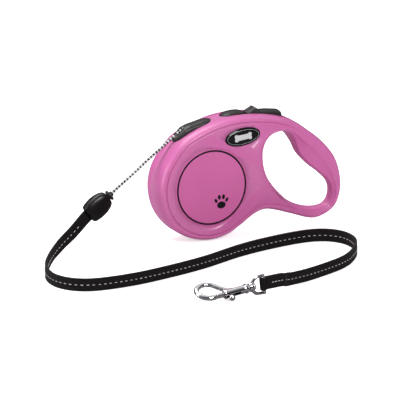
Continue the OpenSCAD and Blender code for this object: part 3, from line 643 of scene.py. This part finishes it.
def case_shells():
    hollow = case_hollow()
    for side, name in SIDES:
        verts, faces = skin(case_rings(side), caps=False)
        last = len(verts) - len(ROWS)
        loops = [[Vector(v) for v in verts[:len(ROWS)]], [Vector(v) for v in verts[last:]]]
        faces += [tuple(i if i < len(ROWS) else i - len(ROWS) + last for i in tri)
                  for tri in tessellate_polygon(loops)]
        shell = formed(name + "_case_shell", verts, faces)
        carve(shell, linked("cutter", hollow.data.copy()))
        if side > 0:
            carved(shell, [bar(x, z, 3.0, 4, 20, 32) for x, z in SCREWS])
        weighted = shell.modifiers.new("shading", "WEIGHTED_NORMAL")
        weighted.keep_sharp, weighted.weight = True, 90
        smooth(shell.data, 32)
        bake_modifiers(shell)
        settle(shell, "pink_shell", CASE, name + "_shell")
    bpy.data.objects.remove(hollow)


def labels():
    """A flush round label on each side with a printed ring and a paw."""
    for side, name in SIDES:
        disc = [(INLAY_T - down, LABEL_R - inwards) for down, inwards in (
            (INLAY_T, 0.1), (0.38, 0.05), (0.22, 0.14), (0.08, 0.34), (0.02, 0.6))]
        disc += [(INLAY_T - 0.02, share * LABEL_R) for share in (0.96, 0.9, 0.75, 0.5, 0.3)]
        part = lathe(disc, (0, side * (HALF_T - INLAY_T), 0), (0, side, 0), 160)
        piece(name + "_label_disc", *part, "label_pink", CASE, name + "_label", 40)
        low = HALF_T - 0.04
        r0, r1 = PRINT_RING
        ring = ring_of([(0, r0), (PRINT_T + 0.02, r0 + 0.05), (PRINT_T + 0.02, r1 - 0.05), (0, r1)],
                       (0, side * low, 0), (0, side, 0), 160)
        pads = [paw_pad(x, z, a, b, tilt, side, low) for x, z, a, b, tilt in PAW]
        piece(name + "_label_print", *join([ring] + pads), "ink", CASE)


# A paw print: pads as centre x, z, half width, half height, tilt
PAW = [(8, -14.2, 3.5, 2.7, 0), (3.6, -10.6, 1.15, 1.75, 0.5), (6.3, -8.2, 1.2, 1.9, 0.15),
       (9.7, -8.2, 1.2, 1.9, -0.15), (12.4, -10.6, 1.15, 1.75, -0.5)]


def paw_pad(x, z, a, b, tilt, side, low):
    q, c, s = turns(28), math.cos(tilt), math.sin(tilt)
    rings = []
    for lift, share in ((0, 1.0), (PRINT_T, 0.99), (PRINT_T + 0.02, 0.9)):
        u, v = a * share * np.cos(q), b * share * np.sin(q)
        rings.append(np.stack([-side * x + u * c - v * s, np.full(len(q), side * (low + lift)),
                               z + u * s + v * c], 1))
    return skin(rings)


def badges():
    """Domed oval badges with a raised rim line and a bone shape."""
    for side, name in SIDES:
        dome = [(-INLAY_T + 0.02, 0.0), (0.1, 0.0), (0.35, -0.12), (0.5, -0.5), (0.62, -1.0)]
        dome += [(0.62 + 0.6 * math.sin(t), -1.0 - 5.2 * (1 - math.cos(t)))
                 for t in np.linspace(0.25, math.pi / 2, 8)]
        rings = [[(x, side * (HALF_T + lift), z) for x, z in oval(gap)] for lift, gap in dome]
        piece(name + "_badge_dome", *skin(rings), "badge_black", CASE, name + "_badge", 50)
        line = [(x, side * (HALF_T + 0.78), z) for x, z in oval(-1.55)]
        line = tube(line + line[:1], 0.14, 8, (0, 1, 0))
        piece(name + "_badge_print", *join([line, bone(side)]), "badge_print", CASE)


# A bone's outline: centres and first angles of its four round lobes
LOBES = [(5.6, -1.25, -2.6), (5.6, 1.25, -0.55), (-5.6, 1.25, 0.55), (-5.6, -1.25, 2.55)]
LOBE_R, LOBE_TURN = 1.55, 3.15


def bone(side):
    """A flat bone laid on the badge's dome."""
    arcs = [(x, z, q) for x, z, first in LOBES for q in np.linspace(first, first + LOBE_TURN, 12)]
    a, b = np.array([(x + LOBE_R * math.cos(q), z + LOBE_R * math.sin(q)) for x, z, q in arcs]).T
    rings = []
    for lift, share in ((0.85, 1.0), (1.18, 1.0), (1.26, 0.93)):
        flat = on_badge(share * a, share * b)
        rings.append([(x, side * (HALF_T + lift), z) for x, z in flat])
    return skin(rings)


# ---------- nozzle and brake ----------
NOZZLE_TOP = [(-25, 36), (-24.6, 38.4), (-22.6, 39.6), (-17, 44.8), (-13, 46.4), (-8, 47.5),
              (-3, 48.6), (2, 49.3), (5.4, 48.9)]
NOZZLE_LOW = [(-25, 35), (-20, 35), (-12, 38.6), (-3, 42.6), (5.4, 46.4)]
BUTTON_TOP = [(13.7, 48.6), (15, 50.5), (17, 51.7), (20, 52.5), (24, 52.95), (28.5, 52.8),
              (30.6, 52.3), (31.2, 50.4), (31.6, 49.5), (44.2, 49.5), (44.6, 50.2), (45.2, 51.2),
              (52, 50.9), (58, 50.1), (61.4, 49.5), (62, 48.9)]
BUTTON_LOW = [(13.7, 45.4), (30, 45.2), (47, 45.2), (62, 44)]


def ridge(x0, x1, width, top, low, both, shoulder, power=2.6):
    """A long body with a stadium plan and a rounded top."""
    r = width / 2
    ends = x0 + r * (1 - np.cos(np.linspace(0.12, math.pi / 2, 12)))
    xs = list(ends) + list(np.arange(x0 + r + 0.4, x1 - (r if both else 0.5), 0.4))
    if both:
        xs += list(x1 - r * (1 - np.cos(np.linspace(math.pi / 2, 0.12, 12))))
    else:
        xs += [x1 - 0.45, x1 - 0.25, x1 - 0.1, x1]
    rings = []
    for x in xs:
        past = max(x0 + r - x, x - x1 + r if both else 0, 0)
        w = math.sqrt(max(r * r - past ** 2, 0.01)) - (0 if both else max(0, 0.35 - (x1 - x)))
        high, deep = np.interp(x, *zip(*top)), np.interp(x, *zip(*low))
        drop = min(shoulder * w / r, 0.7 * (high - deep))
        arc = np.linspace(math.pi, 0, 25)
        y = np.sign(np.cos(arc)) * w * np.abs(np.cos(arc)) ** (2 / power)
        z = high - drop + drop * np.sin(arc) ** (2 / power)
        flat = np.concatenate([[(-w, deep)], np.stack([y, z], 1), [(w, deep)]])
        rings.append([(x, a, b) for a, b in flat])
    return skin(rings)


def solid(part, name, material, body, node, cuts=(), bevel=0.0, angle=35):
    """A piece cut by other forms, with softened edges."""
    obj = scratch(part)
    carved(obj, cuts)
    if bevel:
        edges = obj.modifiers.new("edges", "BEVEL")
        edges.width, edges.segments = bevel * MM, 2
        edges.limit_method, edges.angle_limit = "ANGLE", math.radians(38)
        bake_modifiers(obj)
    obj.name = name
    settle(obj, material, body, node, angle)


def box_at(x0, x1, y0, y1, z0, z1):
    return skin([[(x, y0, z0), (x, y1, z0), (x, y1, z1), (x, y0, z1)] for x in (x0, x1)])


CONNECTOR_TOP = (LIP[0] - CORD_OUT * math.cos(CORD_SLOPE), LIP[1] - CORD_OUT * math.sin(CORD_SLOPE))


def down_cord(points):
    """Points given as (distance down the cord from the connector, y, across) to row ones."""
    p = np.asarray(points, float)
    c, s = math.cos(CORD_SLOPE), math.sin(CORD_SLOPE)
    x, z = CONNECTOR_TOP
    return np.stack([x - p[:, 0] * c - p[:, 2] * s, p[:, 1], z - p[:, 0] * s + p[:, 2] * c], 1)


def nozzle():
    body = ridge(OUTLET_X0, OUTLET_X1, OUTLET_W, NOZZLE_TOP, NOZZLE_LOW, True, 3.2, 2.3)
    trough = down_cord([(d - CORD_OUT, y, z) for d, y, z in (
        (-5.2, -1.9, 0), (-4.4, -1.9, 7), (6, -1.9, 7), (6, -1.9, -1.2), (0, -1.9, -1.2))])
    cut = skin([trough, trough + (0, 3.8, 0)])
    bore = tube([(LIP[0] - 3, 0, LIP[1] - 2.2), *CORD_BEND, (15, 0, 33)], CORD_R + 0.5, 24,
                (0, 1, 0))
    chamber = bar(0, 0, SPOOL_CHAMBER_R, -7, 7, 96)
    solid(body, "cord_nozzle", "dark_satin", CASE, "cord_outlet", [cut, bore, chamber], 0.22)


def button():
    body = ridge(BUTTON_X0, BUTTON_X1, BUTTON_W, BUTTON_TOP, BUTTON_LOW, False, 2.0, 2.6)
    cuts = [box_at(33.6, 41.4, -2.1, 2.1, 40, 60), bar(17, 0, 1.26, -9, 9, 24)]
    solid(body, "brake_button_top", "dark_satin", "brake_button", "brake_button", cuts, 0.18)
    # The finger below that presses the pawl
    finger = box_at(30.6, 33.2, -5.4, -2.7, 42.55, 45.6)
    solid(finger, "brake_button_finger", "black_plastic", "brake_button", None, (), 0.2)


def thumb_piece():
    """The lock's ribbed wedge."""
    outline = [(34.6, 49.62), (34.7, 50.3), (35.2, 50.75), (41, 53.75), (41.6, 53.9), (42.3, 53.55),
               (43.2, 52.0), (43.6, 49.62)]
    wedge = prism(outline, -4.4, 4.4)
    ribs = [box_at(x, x + 0.65, -6, 6, 50.55 + (x - 34.6) * 0.5, 57)
            for x in np.arange(35.7, 40.6, 1.25)]
    solid(wedge, "lock_thumb_piece", "dark_satin", "lock_slider", "lock_slider", ribs, 0.15)
    foot = join([box_at(37, 41, -2, 2, 44.3, 49.7), box_at(37, 41, -7, 7, 44.15, 44.7)])
    piece("lock_stem", *foot, "black_plastic", "lock_slider")


# ---------- cord and connector ----------
BRAID_PITCH, BRAID_REPEAT, STRAND_W, STRAND_T = 5.0, 2.7, 1.0, 0.34


def braid(path, name):
    """Eight flat strands braided round a path, dark and light by turns; an object per colour."""
    path = resample(path, 0.26)
    s = arc_lengths(path)
    u, v = frames(path, (0, 1, 0))
    along = tangents(path)
    strands = {"cord_black": [], "cord_white": [tube(path, CORD_R - STRAND_T - 0.2, 8, (0, 1, 0))]}
    for turn in (1, -1):
        slant = math.atan2(2 * math.pi * (CORD_R - 0.2), BRAID_PITCH) * turn
        for k in range(4):
            angle = turn * 2 * math.pi * s / BRAID_PITCH + k * math.pi / 2
            over = np.cos(8 * math.pi * s / BRAID_PITCH + k * math.pi)
            radius = CORD_R - STRAND_T * 0.5 - 0.1 + turn * 0.1 * over
            out = np.cos(angle)[:, None] * u + np.sin(angle)[:, None] * v
            side = unit(math.cos(slant) * np.cross(out, along) - math.sin(slant) * along)
            centre = path + radius[:, None] * out
            rings = [[c + a * STRAND_W / 2 * w + b * STRAND_T / 2 * o for a, b in STRAND_SECTION]
                     for c, o, w in zip(centre, out, side)]
            dark = (s / BRAID_REPEAT + 0.09 * (k % 2) * turn) % 1 < 0.48
            ends = [0, *(np.flatnonzero(np.diff(dark)) + 1), len(rings) - 1]
            for i, j in zip(ends, ends[1:]):
                if j > i:
                    strands["cord_black" if dark[i] else "cord_white"].append(skin(rings[i:j + 1]))
    return [piece(name + "_" + colour, *join(parts), colour, None, None, 60)
            for colour, parts in strands.items()]


STRAND_SECTION = ((-1, -0.35), (-0.75, 0.6), (0, 1), (0.75, 0.6), (1, -0.35), (0, -0.8))


def cords():
    over, inside = 0.3, 4.5
    drawn = down_cord([(-CORD_OUT + over, 0, 0), (inside, 0, 0)])
    lead = catmull([(13.2, 0, 33.7), (0, 0, 38.8), *CORD_BEND[::-1]], 8)
    for path, node in ((drawn, "drawn_cord"), (lead, "cord_lead")):
        for obj in braid(path, node):
            if node == "drawn_cord":
                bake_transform(obj)
            else:
                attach(obj, CASE)
            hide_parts(node)


def collar():
    """The stop on the cord: a thin sleeve and a flange."""
    profile = [(-4.4, 1.25), (-4.4, 1.85), (-4.2, 2.0), (-2.75, 2.0), (-2.6, 2.3), (-2.6, 3.9),
               (-2.3, 4.2), (-1.35, 4.2), (-1.05, 3.9), (-1.05, 2.65), (-0.1, 2.55), (-0.02, 2.4),
               (-0.02, 1.25)]
    along = down_cord([(1, 0, 0)])[0] - down_cord([(0, 0, 0)])[0]
    top = down_cord([(0, 0, 0)])[0]
    piece("cord_collar", *ring_of(profile, top, along), "black_plastic", LEASH_END, "cord_stop")


# The connector's barrel: distance down the cord, half width, half thickness
BARREL = [(0, 3.6, 2.3), (0.12, 4.2, 2.8), (0.5, 5.0, 3.35), (1.2, 5.75, 3.9), (4, 7.2, 4.7),
          (9, 8.3, 5.1), (14, 8.25, 5.1), (17.4, 7.65, 4.8), (18.8, 7.1, 4.4), (19.35, 6.7, 4.1),
          (19.6, 6.2, 3.7)]
LOOP_PIN_AT, SIDE_HOLE_AT = (11, 0), (16, 1.1)


def connector():
    q = turns(72)
    # Nearly flat faces with a crisp corner to the narrow sides
    a = np.sign(np.cos(q)) * np.abs(np.cos(q)) ** 0.62
    b = np.sign(np.sin(q)) * np.abs(np.sin(q)) ** 0.72
    rings = [down_cord(np.stack([np.full(len(q), d), t * a, w * b], 1))
             for d, w, t in catmull(BARREL, 6)]
    half = STRAP_W / 2 + 0.25
    # The strap's mouth and its lead-in, then the pin's hole and a small blind hole
    cuts = [skin([down_cord([(d, -t, -w), (d, t, -w), (d, t, w), (d, -t, w)]) for d, t, w in ends])
            for ends in (((7.4, 2.2, half), (21, 2.2, half)),
                         ((18.7, 2.1, half), (20.2, 2.9, half + 0.75)))]
    for (x, y), r, sides, z0 in ((LOOP_PIN_AT, 1.22, 24, -10), (SIDE_HOLE_AT, 0.8, 20, 6.3)):
        rim = [(x + r * math.cos(q), y + r * math.sin(q)) for q in turns(sides)]
        cuts.append(skin([down_cord([(*p, z) for p in rim]) for z in (z0, 10)]))
    solid(skin(rings), "connector_barrel", "connector_black", LEASH_END, "connector", cuts, 0.2, 40)


# ---------- strap ----------
BAR_R, FOLD_T, FOLD_LEN, LINE_STEPS = 1.46, STRAP_T * 0.8, 30, 14
UPRIGHT = GROUND + STRAP_W / 2
# The strap's way over the ground, and how far it is above its height when upright
STRAP_WAY = [(-108, -3, -23.8 - UPRIGHT), (-120, -9, -29.6 - UPRIGHT), (-131, -18, -33.6 - UPRIGHT),
             (-141.5, -31, 0.8), (-150.5, -46), (-156.6, -63), (-157, -80), (-149.5, -93.5),
             (-134, -100.3), (-104, -99), (-70, -90.5), (-37, -79), (0, -61.5), (31, -51.5),
             (60, -46.5), (76, -50), (85, -62), (85, -80), (75, -101), (54.5, -123),
             (20.7, -141.2), (-5.2, -152.8, 1.2)]
STRAP_WAY = [(*p, 0)[:3] for p in STRAP_WAY]


def strap_line():
    points = list(down_cord([(12, 0, 0), (22, 0, 0)]))
    points += [(x, y, z + UPRIGHT) for x, y, z in STRAP_WAY]
    points += [BAR_AT + (16, 1.3, 0.8), BAR_AT + (2.2, 0.2, 0.2)]
    return catmull(points, LINE_STEPS)


def strap_frames(path):
    """Direction across the strap and out of its face, as in the CAD."""
    n = len(path)
    step = np.arange(n) / LINE_STEPS * 3
    last = step[-1] + 1
    lean = np.array((-math.sin(CORD_SLOPE), 0, math.cos(CORD_SLOPE)))
    share = np.minimum(step / 12, 1)[:, None]
    tip = (np.maximum(step - last + 11, 0) / 10)[:, None]
    up = unit((1 - share) * lean + share * np.array((0, 0, 1.0)) + tip * (BAR_DIR - (0, 0, 1)))
    t = tangents(path)
    face = unit(np.cross(up, t))
    return unit(np.cross(t, face)), face


def tape(path, across, face, width, thick, start=0.0):
    """Webbing along a path, with rounded selvedges: vertices, faces, and where each vertex
    is across and along the weave."""
    section = []
    for w in np.linspace(-1, 1, 27):
        edge = max(0.0, (abs(w) - 0.93) / 0.07)
        section.append((w * width / 2, thick / 2 * math.sqrt(max(1 - edge * edge, 0.12))))
    outline = section + [(w, -h) for w, h in reversed(section)]
    rings = [[p + w * a + h * f for w, h in outline] for p, a, f in zip(path, across, face)]
    lay = [(w, at, 0) for at in arc_lengths(path) + start for w, _ in outline]
    return (*skin(rings), lay)


def strap():
    full = strap_line()
    key = arc_lengths(full)
    path = resample(full, 1.0)
    s = arc_lengths(path)
    scale = key[-1] / s[-1]
    across, face = (unit(sampled(s * scale, key, values)) for values in strap_frames(full))
    tapes = [tape(path, across, face, STRAP_W, STRAP_T)]
    # The end, turned round the hook's bar and sewn down on the far side
    back = slice(len(path) - FOLD_LEN, None)
    grow = np.clip(np.arange(FOLD_LEN) / 3, 0, 1)
    fold = path[back] - (STRAP_T * 0.93 * grow)[:, None] * face[back]
    tapes.append(tape(fold, across[back], face[back], STRAP_W - 0.15, STRAP_T * 0.86, 3))
    q = np.linspace(math.radians(100), math.radians(-100), 28)[:, None]
    out = np.cos(q) * hook_dir((1, 0, 0)) + np.sin(q) * hook_dir((0, 1, 0))
    turn = BAR_AT + (BAR_R + FOLD_T / 2) * out
    tapes.append(tape(turn, np.broadcast_to(BAR_DIR, turn.shape), unit(turn - BAR_AT),
                      STRAP_W - 0.4, FOLD_T, 40))
    lay = [at for *_, lays in tapes for at in lays]
    piece("strap_webbing", *join([t[:2] for t in tapes]), "webbing", LEASH_END, "strap", 60,
          {"lay": lay})
    stitches(path, across, face)


def stitches(path, across, face):
    """Short rounded threads along the middle of both faces, and a seam at the fold."""
    s = arc_lengths(path)
    made = []

    def thread(at, off, length, side, lift):
        q = np.linspace(at - length / 2, at + length / 2, 7)
        p, a, f = (sampled(q, s, values) for values in (path, across, face))
        bow = np.sin(np.linspace(0.15, math.pi - 0.15, 7))
        rise = (STRAP_T / 2 - 0.1 + lift + 0.3 * bow)[:, None]
        made.append(tube(p + off * a + side * rise * f, STITCH_R * (0.55 + 0.45 * bow), 8,
                         (0.01, 0.02, 1), 0.8))

    first, last = 20.6, s[-1] - 16
    for at in np.arange(first, last, STITCH_PITCH):
        for side in (-1, 1):
            thread(at, 0.0, STITCH_LEN, side, 0.0)
    for at in np.arange(s[-1] - 13, s[-1] - 3, 2.6):
        thread(at, 0.0, 1.7, 1, 0.0)
    piece("strap_stitches", *join(made), "thread", LEASH_END, "strap_stitching", 60)


# ---------- snap hook ----------
def hook_dir(v, rolled=False):
    x, y, z = v
    if rolled:
        c, s = math.cos(HOOK_ROLL), math.sin(HOOK_ROLL)
        y, z = y * c - z * s, y * s + z * c
    c, s = math.cos(HOOK_PITCH), math.sin(HOOK_PITCH)
    x, z = x * c + z * s, -x * s + z * c
    c, s = math.cos(HOOK_YAW), math.sin(HOOK_YAW)
    return np.array((x * c - y * s, x * s + y * c, z))


def on_hook(points, rolled=True):
    return np.array([BAR_AT + hook_dir(p, rolled) for p in points])


BAR_DIR = hook_dir((0, 0, 1))
EYE_SIDE, EYE_BEND, EYE_REACH = 6.45, 6.4, 12.0
BARREL_X, BARREL_LEN, BOLT_TRAVEL = 14.2, 19.6, 8.0
RING_AT, RING_R = (42.0, 8.4), 8.6
BORE_R, BORE_X = 1.97, BARREL_X + 3.4


def eye():
    """A D-shaped eye: bar in the strap's fold, two arms and a swivel boss."""
    half = [(0, 0, -EYE_SIDE + 0.6), (0.5, 0, -EYE_SIDE - 0.1), (2.2, 0, -EYE_SIDE - 0.2),
            (EYE_BEND - 0.8, 0, -EYE_SIDE + 0.1), (EYE_BEND + 1.4, 0, -EYE_SIDE + 1.5),
            (EYE_REACH - 2, 0, -2.6), (EYE_REACH - 0.8, 0, -1.6)]
    radii = [(0, 1.2), (0.3, 1.2), (0.75, 1.25), (1, 1.7)]
    parts = []
    for sign in (-1, 1):
        line = catmull([(x, y, z * -sign) for x, y, z in half], 8)
        r = np.interp(np.linspace(0, 1, len(line)), *zip(*radii))
        parts.append(tube(on_hook(line, False), r, 20, hook_dir((0, 1, 0))))
    rod = catmull([(0, 0, -EYE_SIDE - 1.1), (0, 0, -EYE_SIDE), (0, 0, 0), (0, 0, EYE_SIDE),
                   (0, 0, EYE_SIDE + 1.1)], 6)
    r = np.array([1.38] * len(rod))
    r[0] = r[-1] = 0.9
    parts.append(tube(on_hook(rod, False), r, 24, hook_dir((0, 1, 0))))
    boss = [(EYE_REACH + x, r) for x, r in ((-2.4, 1.95), (-2.4, 2.9), (-2.1, 3.25), (-1.0, 3.4),
                                            (0.3, 3.25), (0.58, 2.9), (0.6, 1.95))]
    parts.append(ring_of(boss, BAR_AT, hook_dir((1, 0, 0))))
    piece("swivel_eye_frame", *join(parts), "chrome", "swivel_eye", "swivel_eye", 45)


def hook():
    x0, x1 = BARREL_X, BARREL_X + BARREL_LEN
    arm = [(x0 + 4.5, 1.4, 0), (x0 + 9, 2.3, 0), (x0 + 14, 3.7, 0), (RING_AT[0] - 11, 6.6, 0)]
    arm += [(RING_AT[0] + RING_R * math.cos(q), RING_AT[1] + RING_R * math.sin(q), 0)
            for q in np.radians(range(160, -101, -20))]
    line = catmull(arm, 8)
    r = np.interp(np.linspace(0, 1, len(line)), *zip(
        (0, 1.5), (0.12, 1.85), (0.3, 1.8), (0.5, 1.95), (0.75, 2.05), (0.985, 2.0), (1, 1.75)))
    limb = tube(on_hook(line), r, 28, hook_dir((0, 0, 1), True), 0.94)
    axis = hook_dir((1, 0, 0))
    barrel = [(x0 + x, r) for x, r in (
        (0, 2.4), (0, 3.4), (0.25, 3.75), (1.35, 3.78), (1.7, 3.5), (1.9, 2.75), (2.6, 2.6),
        (3.1, 3.0), (3.6, 3.2), (8, 3.15))]
    barrel += [(x1 - x, r) for x, r in (
        (4.2, 3.1), (2.7, 3.15), (2.4, 3.5), (1.1, 3.55), (0.85, 3.2), (0.3, 3.15), (0, 2.9),
        (0, BORE_R))]
    barrel += [(BORE_X, BORE_R), (BORE_X, 0.3), (x0 + 0.2, 0.3)]
    sleeve = ring_of(barrel, BAR_AT, axis, 72)
    post = [(EYE_REACH - x, r) for x, r in ((4.4, 1.9), (4.1, 2.6), (3.7, 2.88), (2.9, 2.85),
                                            (2.62, 2.6), (2.6, 1.78))]
    post = lathe(post + [(x0 + 0.5, 1.78)], BAR_AT, axis)
    obj = scratch(sleeve)
    # The knob's slot, and its way out through the mouth's collar
    around_knob = ((-6, -1.15), (0.2, -1.15), (0.2, 1.15), (-6, 1.15))
    slots = [skin([on_hook([(x, y, z) for y, z in around_knob]) for x in ends])
             for ends in ((x1 - 5 - BOLT_TRAVEL, x1 - 2.6), (x1 - 2.7, x1 + 1))]
    limb_obj = scratch(limb)
    carved(limb_obj, [lathe([(BORE_X, 1.965), (RING_AT[0] - 1.9, 1.965)], BAR_AT, axis, 48)])
    carved(obj, slots)
    edges = obj.modifiers.new("edges", "BEVEL")
    edges.width, edges.segments, edges.limit_method = 0.12 * MM, 2, "ANGLE"
    edges.angle_limit = math.radians(60)
    bake_modifiers(obj)
    for part, name in ((obj, "hook_barrel"), (limb_obj, "hook_ring")):
        part.name = name
        settle(part, "chrome", "snap_hook", "hook_body", 35)
    piece("hook_post", *post, "chrome", "snap_hook", "hook_body", 40)


def bolt():
    axis = hook_dir((1, 0, 0))
    x0, x1 = BORE_X + BOLT_TRAVEL + 1, RING_AT[0] - 2.2
    nose = BARREL_X + BARREL_LEN + 0.6
    ridged = [(x0, 1.5), (x0 + 0.4, 1.88), (nose, 1.88)]
    x = nose + 0.3
    while x < x1 - 1.4:
        ridged += [(x, 1.62), (x + 0.25, 1.62), (x + 0.5, 1.88), (x + 0.9, 1.88)]
        x += 1.2
    ridged += [(x1 - 0.7, 1.85), (x1 - 0.2, 1.6), (x1, 1.2)]
    knob_x = BARREL_X + BARREL_LEN - 3.6
    stem_dir = hook_dir((0, -1, 0), True)
    foot = BAR_AT + hook_dir((knob_x, 0, 0), True)
    knob = [(0.5, 1.02), (3.9, 1.02), (4.2, 1.25)]
    knob += [(6.1 - 2.15 * math.cos(q), 2.25 * math.sin(q)) for q in np.linspace(0.62, 2.6, 14)]
    knob += [(8.05, 0.9), (8.0, 0.4)]
    parts = [lathe(ridged, BAR_AT, axis, 40), lathe(knob, foot, stem_dir, 32)]
    piece("hook_bolt_pin", *join(parts), "chrome", "hook_bolt", "hook_bolt", 40)


def springs():
    """Round-wire springs for the bolt and the button."""
    q = np.linspace(0, 6 * 2 * math.pi, 220)
    x0, x1 = BORE_X + 0.3, BORE_X + BOLT_TRAVEL + 0.7
    coil = on_hook(np.stack([x0 + (x1 - x0) * q / q[-1], 1.35 * np.cos(q), 1.35 * np.sin(q)], 1))
    coil = tube(coil, 0.24, 10, hook_dir((1, 0, 0)))
    obj = piece("bolt_spring_coil", *coil, "spring_steel", None)
    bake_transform(obj)
    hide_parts("bolt_spring")
    q = np.linspace(0, 4 * 2 * math.pi, 160)
    x, z = SPRING_FOOT
    coil = np.stack([x + 2.7 * np.cos(q), 2.7 * np.sin(q), z + 8.1 * q / q[-1]], 1)
    coil = tube(coil, 0.34, 10, (0, 0, 1))
    obj = piece("button_spring_coil", *coil, "spring_steel", CASE, "button_spring")
    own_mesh(obj)


def screws():
    """Pan-head screws with a cross recess."""
    for i, (x, z) in enumerate(SCREWS):
        head = lathe([(-5.4, 0.5), (-4.6, 1.35), (4.05, 1.38), (4.07, 2.55), (4.3, 2.68),
                      (5.2, 2.6), (5.8, 2.1), (6.0, 1.4)], (x, 0, z), (0, 1, 0), 40)
        cross = [box_at(x - a, x + a, 4.9, 7, z - b, z + b) for a, b in ((1.5, 0.32), (0.32, 1.5))]
        solid(head, "case_screw_%d" % (i + 1), "bright_steel", CASE, "case_screws", cross, 0.0)


make_materials()
for node_name, look in CARRIED.items():
    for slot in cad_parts[node_name].material_slots:
        slot.material = MATERIALS[look]
case_shells()
labels()
badges()
nozzle()
button()
thumb_piece()
cords()
collar()
connector()
strap()
eye()
hook()
bolt()
springs()
screws()

# ---------- camera, light, floor ----------
AZIMUTH, ELEVATION = math.radians(-26), math.radians(15)
RIGHT = Vector((math.cos(AZIMUTH), math.sin(AZIMUTH), 0))
FORWARD = Vector((-math.sin(AZIMUTH) * math.cos(ELEVATION),
                  math.cos(AZIMUTH) * math.cos(ELEVATION), -math.sin(ELEVATION)))
UP = RIGHT.cross(FORWARD)
FRAME_WIDTH, CAMERA_DISTANCE = 0.296, 9.0
FRAME_OFFSET = (-0.0024, -0.0125)
FLOOR_HALF, FLOOR_GLOW = 4, 0.6


def studio():
    scene = bpy.context.scene
    aim = Vector(to_row((0, 0, 0))) + RIGHT * FRAME_OFFSET[0] + UP * FRAME_OFFSET[1]
    camera = linked("camera", bpy.data.cameras.new("camera"))
    camera.data.sensor_width = 36
    camera.data.lens = 36 * CAMERA_DISTANCE / FRAME_WIDTH
    camera.location = aim - FORWARD * CAMERA_DISTANCE
    camera.rotation_euler = FORWARD.to_track_quat("-Z", "Y").to_euler()
    camera.data.clip_end = 50
    scene.camera = camera

    floor_m = Tree("floor")
    rays = floor_m.add("LightPath")
    paper = floor_m.mix(floor_m.noise(0.01, 2), (0.9, 0.9, 0.9, 1), (0.93, 0.93, 0.93, 1))
    mirrored = floor_m.mix(rays.outputs["Is Glossy Ray"], paper, (0.16, 0.15, 0.16, 1))
    floor_m.set(Base_Color=mirrored, Roughness=0.7, Emission_Color=(1, 1, 1, 1),
                Emission_Strength=floor_m.math("MULTIPLY", rays.outputs["Is Camera Ray"],
                                               FLOOR_GLOW))
    mesh = bpy.data.meshes.new("floor")
    corners = ((-1, -1), (1, -1), (1, 1), (-1, 1))
    mesh.from_pydata([(x * FLOOR_HALF, y * FLOOR_HALF, GROUND * MM) for x, y in corners], [],
                     [(0, 1, 2, 3)])
    mesh.materials.append(MATERIALS["floor"])
    linked("floor", mesh)

    surroundings(scene)
    lamp("top_softbox", (-0.3, 0.5, 1.2), (1.0, 0.7), 9, aim)
    lamp("left_softbox", (-1.25, 0.2, 0.3), (0.5, 0.9), 7, aim)
    lamp("front_fill", (0.1, -1.5, 1.0), (0.7, 0.4), 18, aim)
    scene.view_settings.view_transform = "Standard"


def surroundings(scene):
    """A pale room with a dark side behind the camera, so that chrome and gloss have contrast."""
    world = bpy.data.worlds.new("studio")
    world.use_nodes = True
    m = Tree("studio", world.node_tree)
    way = m.add("SeparateXYZ", None, {0: m.add("TexCoord").outputs["Generated"]}).outputs
    height = m.remap(way[2], 0.1, 0.9, 0.05, 0.8, "SMOOTHSTEP")
    depth = m.remap(way[1], -0.8, 0.4, 0.1, 1.0, "SMOOTHSTEP")
    seen = m.add("LightPath").outputs["Is Camera Ray"]
    back = m.tree.nodes["Background"]
    m.feed(back.inputs[0], (0.96, 0.97, 1.0, 1))
    m.feed(back.inputs[1], m.math("MAXIMUM", m.math("MULTIPLY", height, depth), seen))
    scene.world = world


def lamp(name, place, size, power, aim):
    light = bpy.data.lights.new(name, "AREA")
    light.shape, light.size, light.size_y = "RECTANGLE", size[0], size[1]
    light.energy = power
    obj = linked(name, light)
    obj.location = place
    obj.rotation_euler = (aim - Vector(place)).to_track_quat("-Z", "Y").to_euler()


studio()
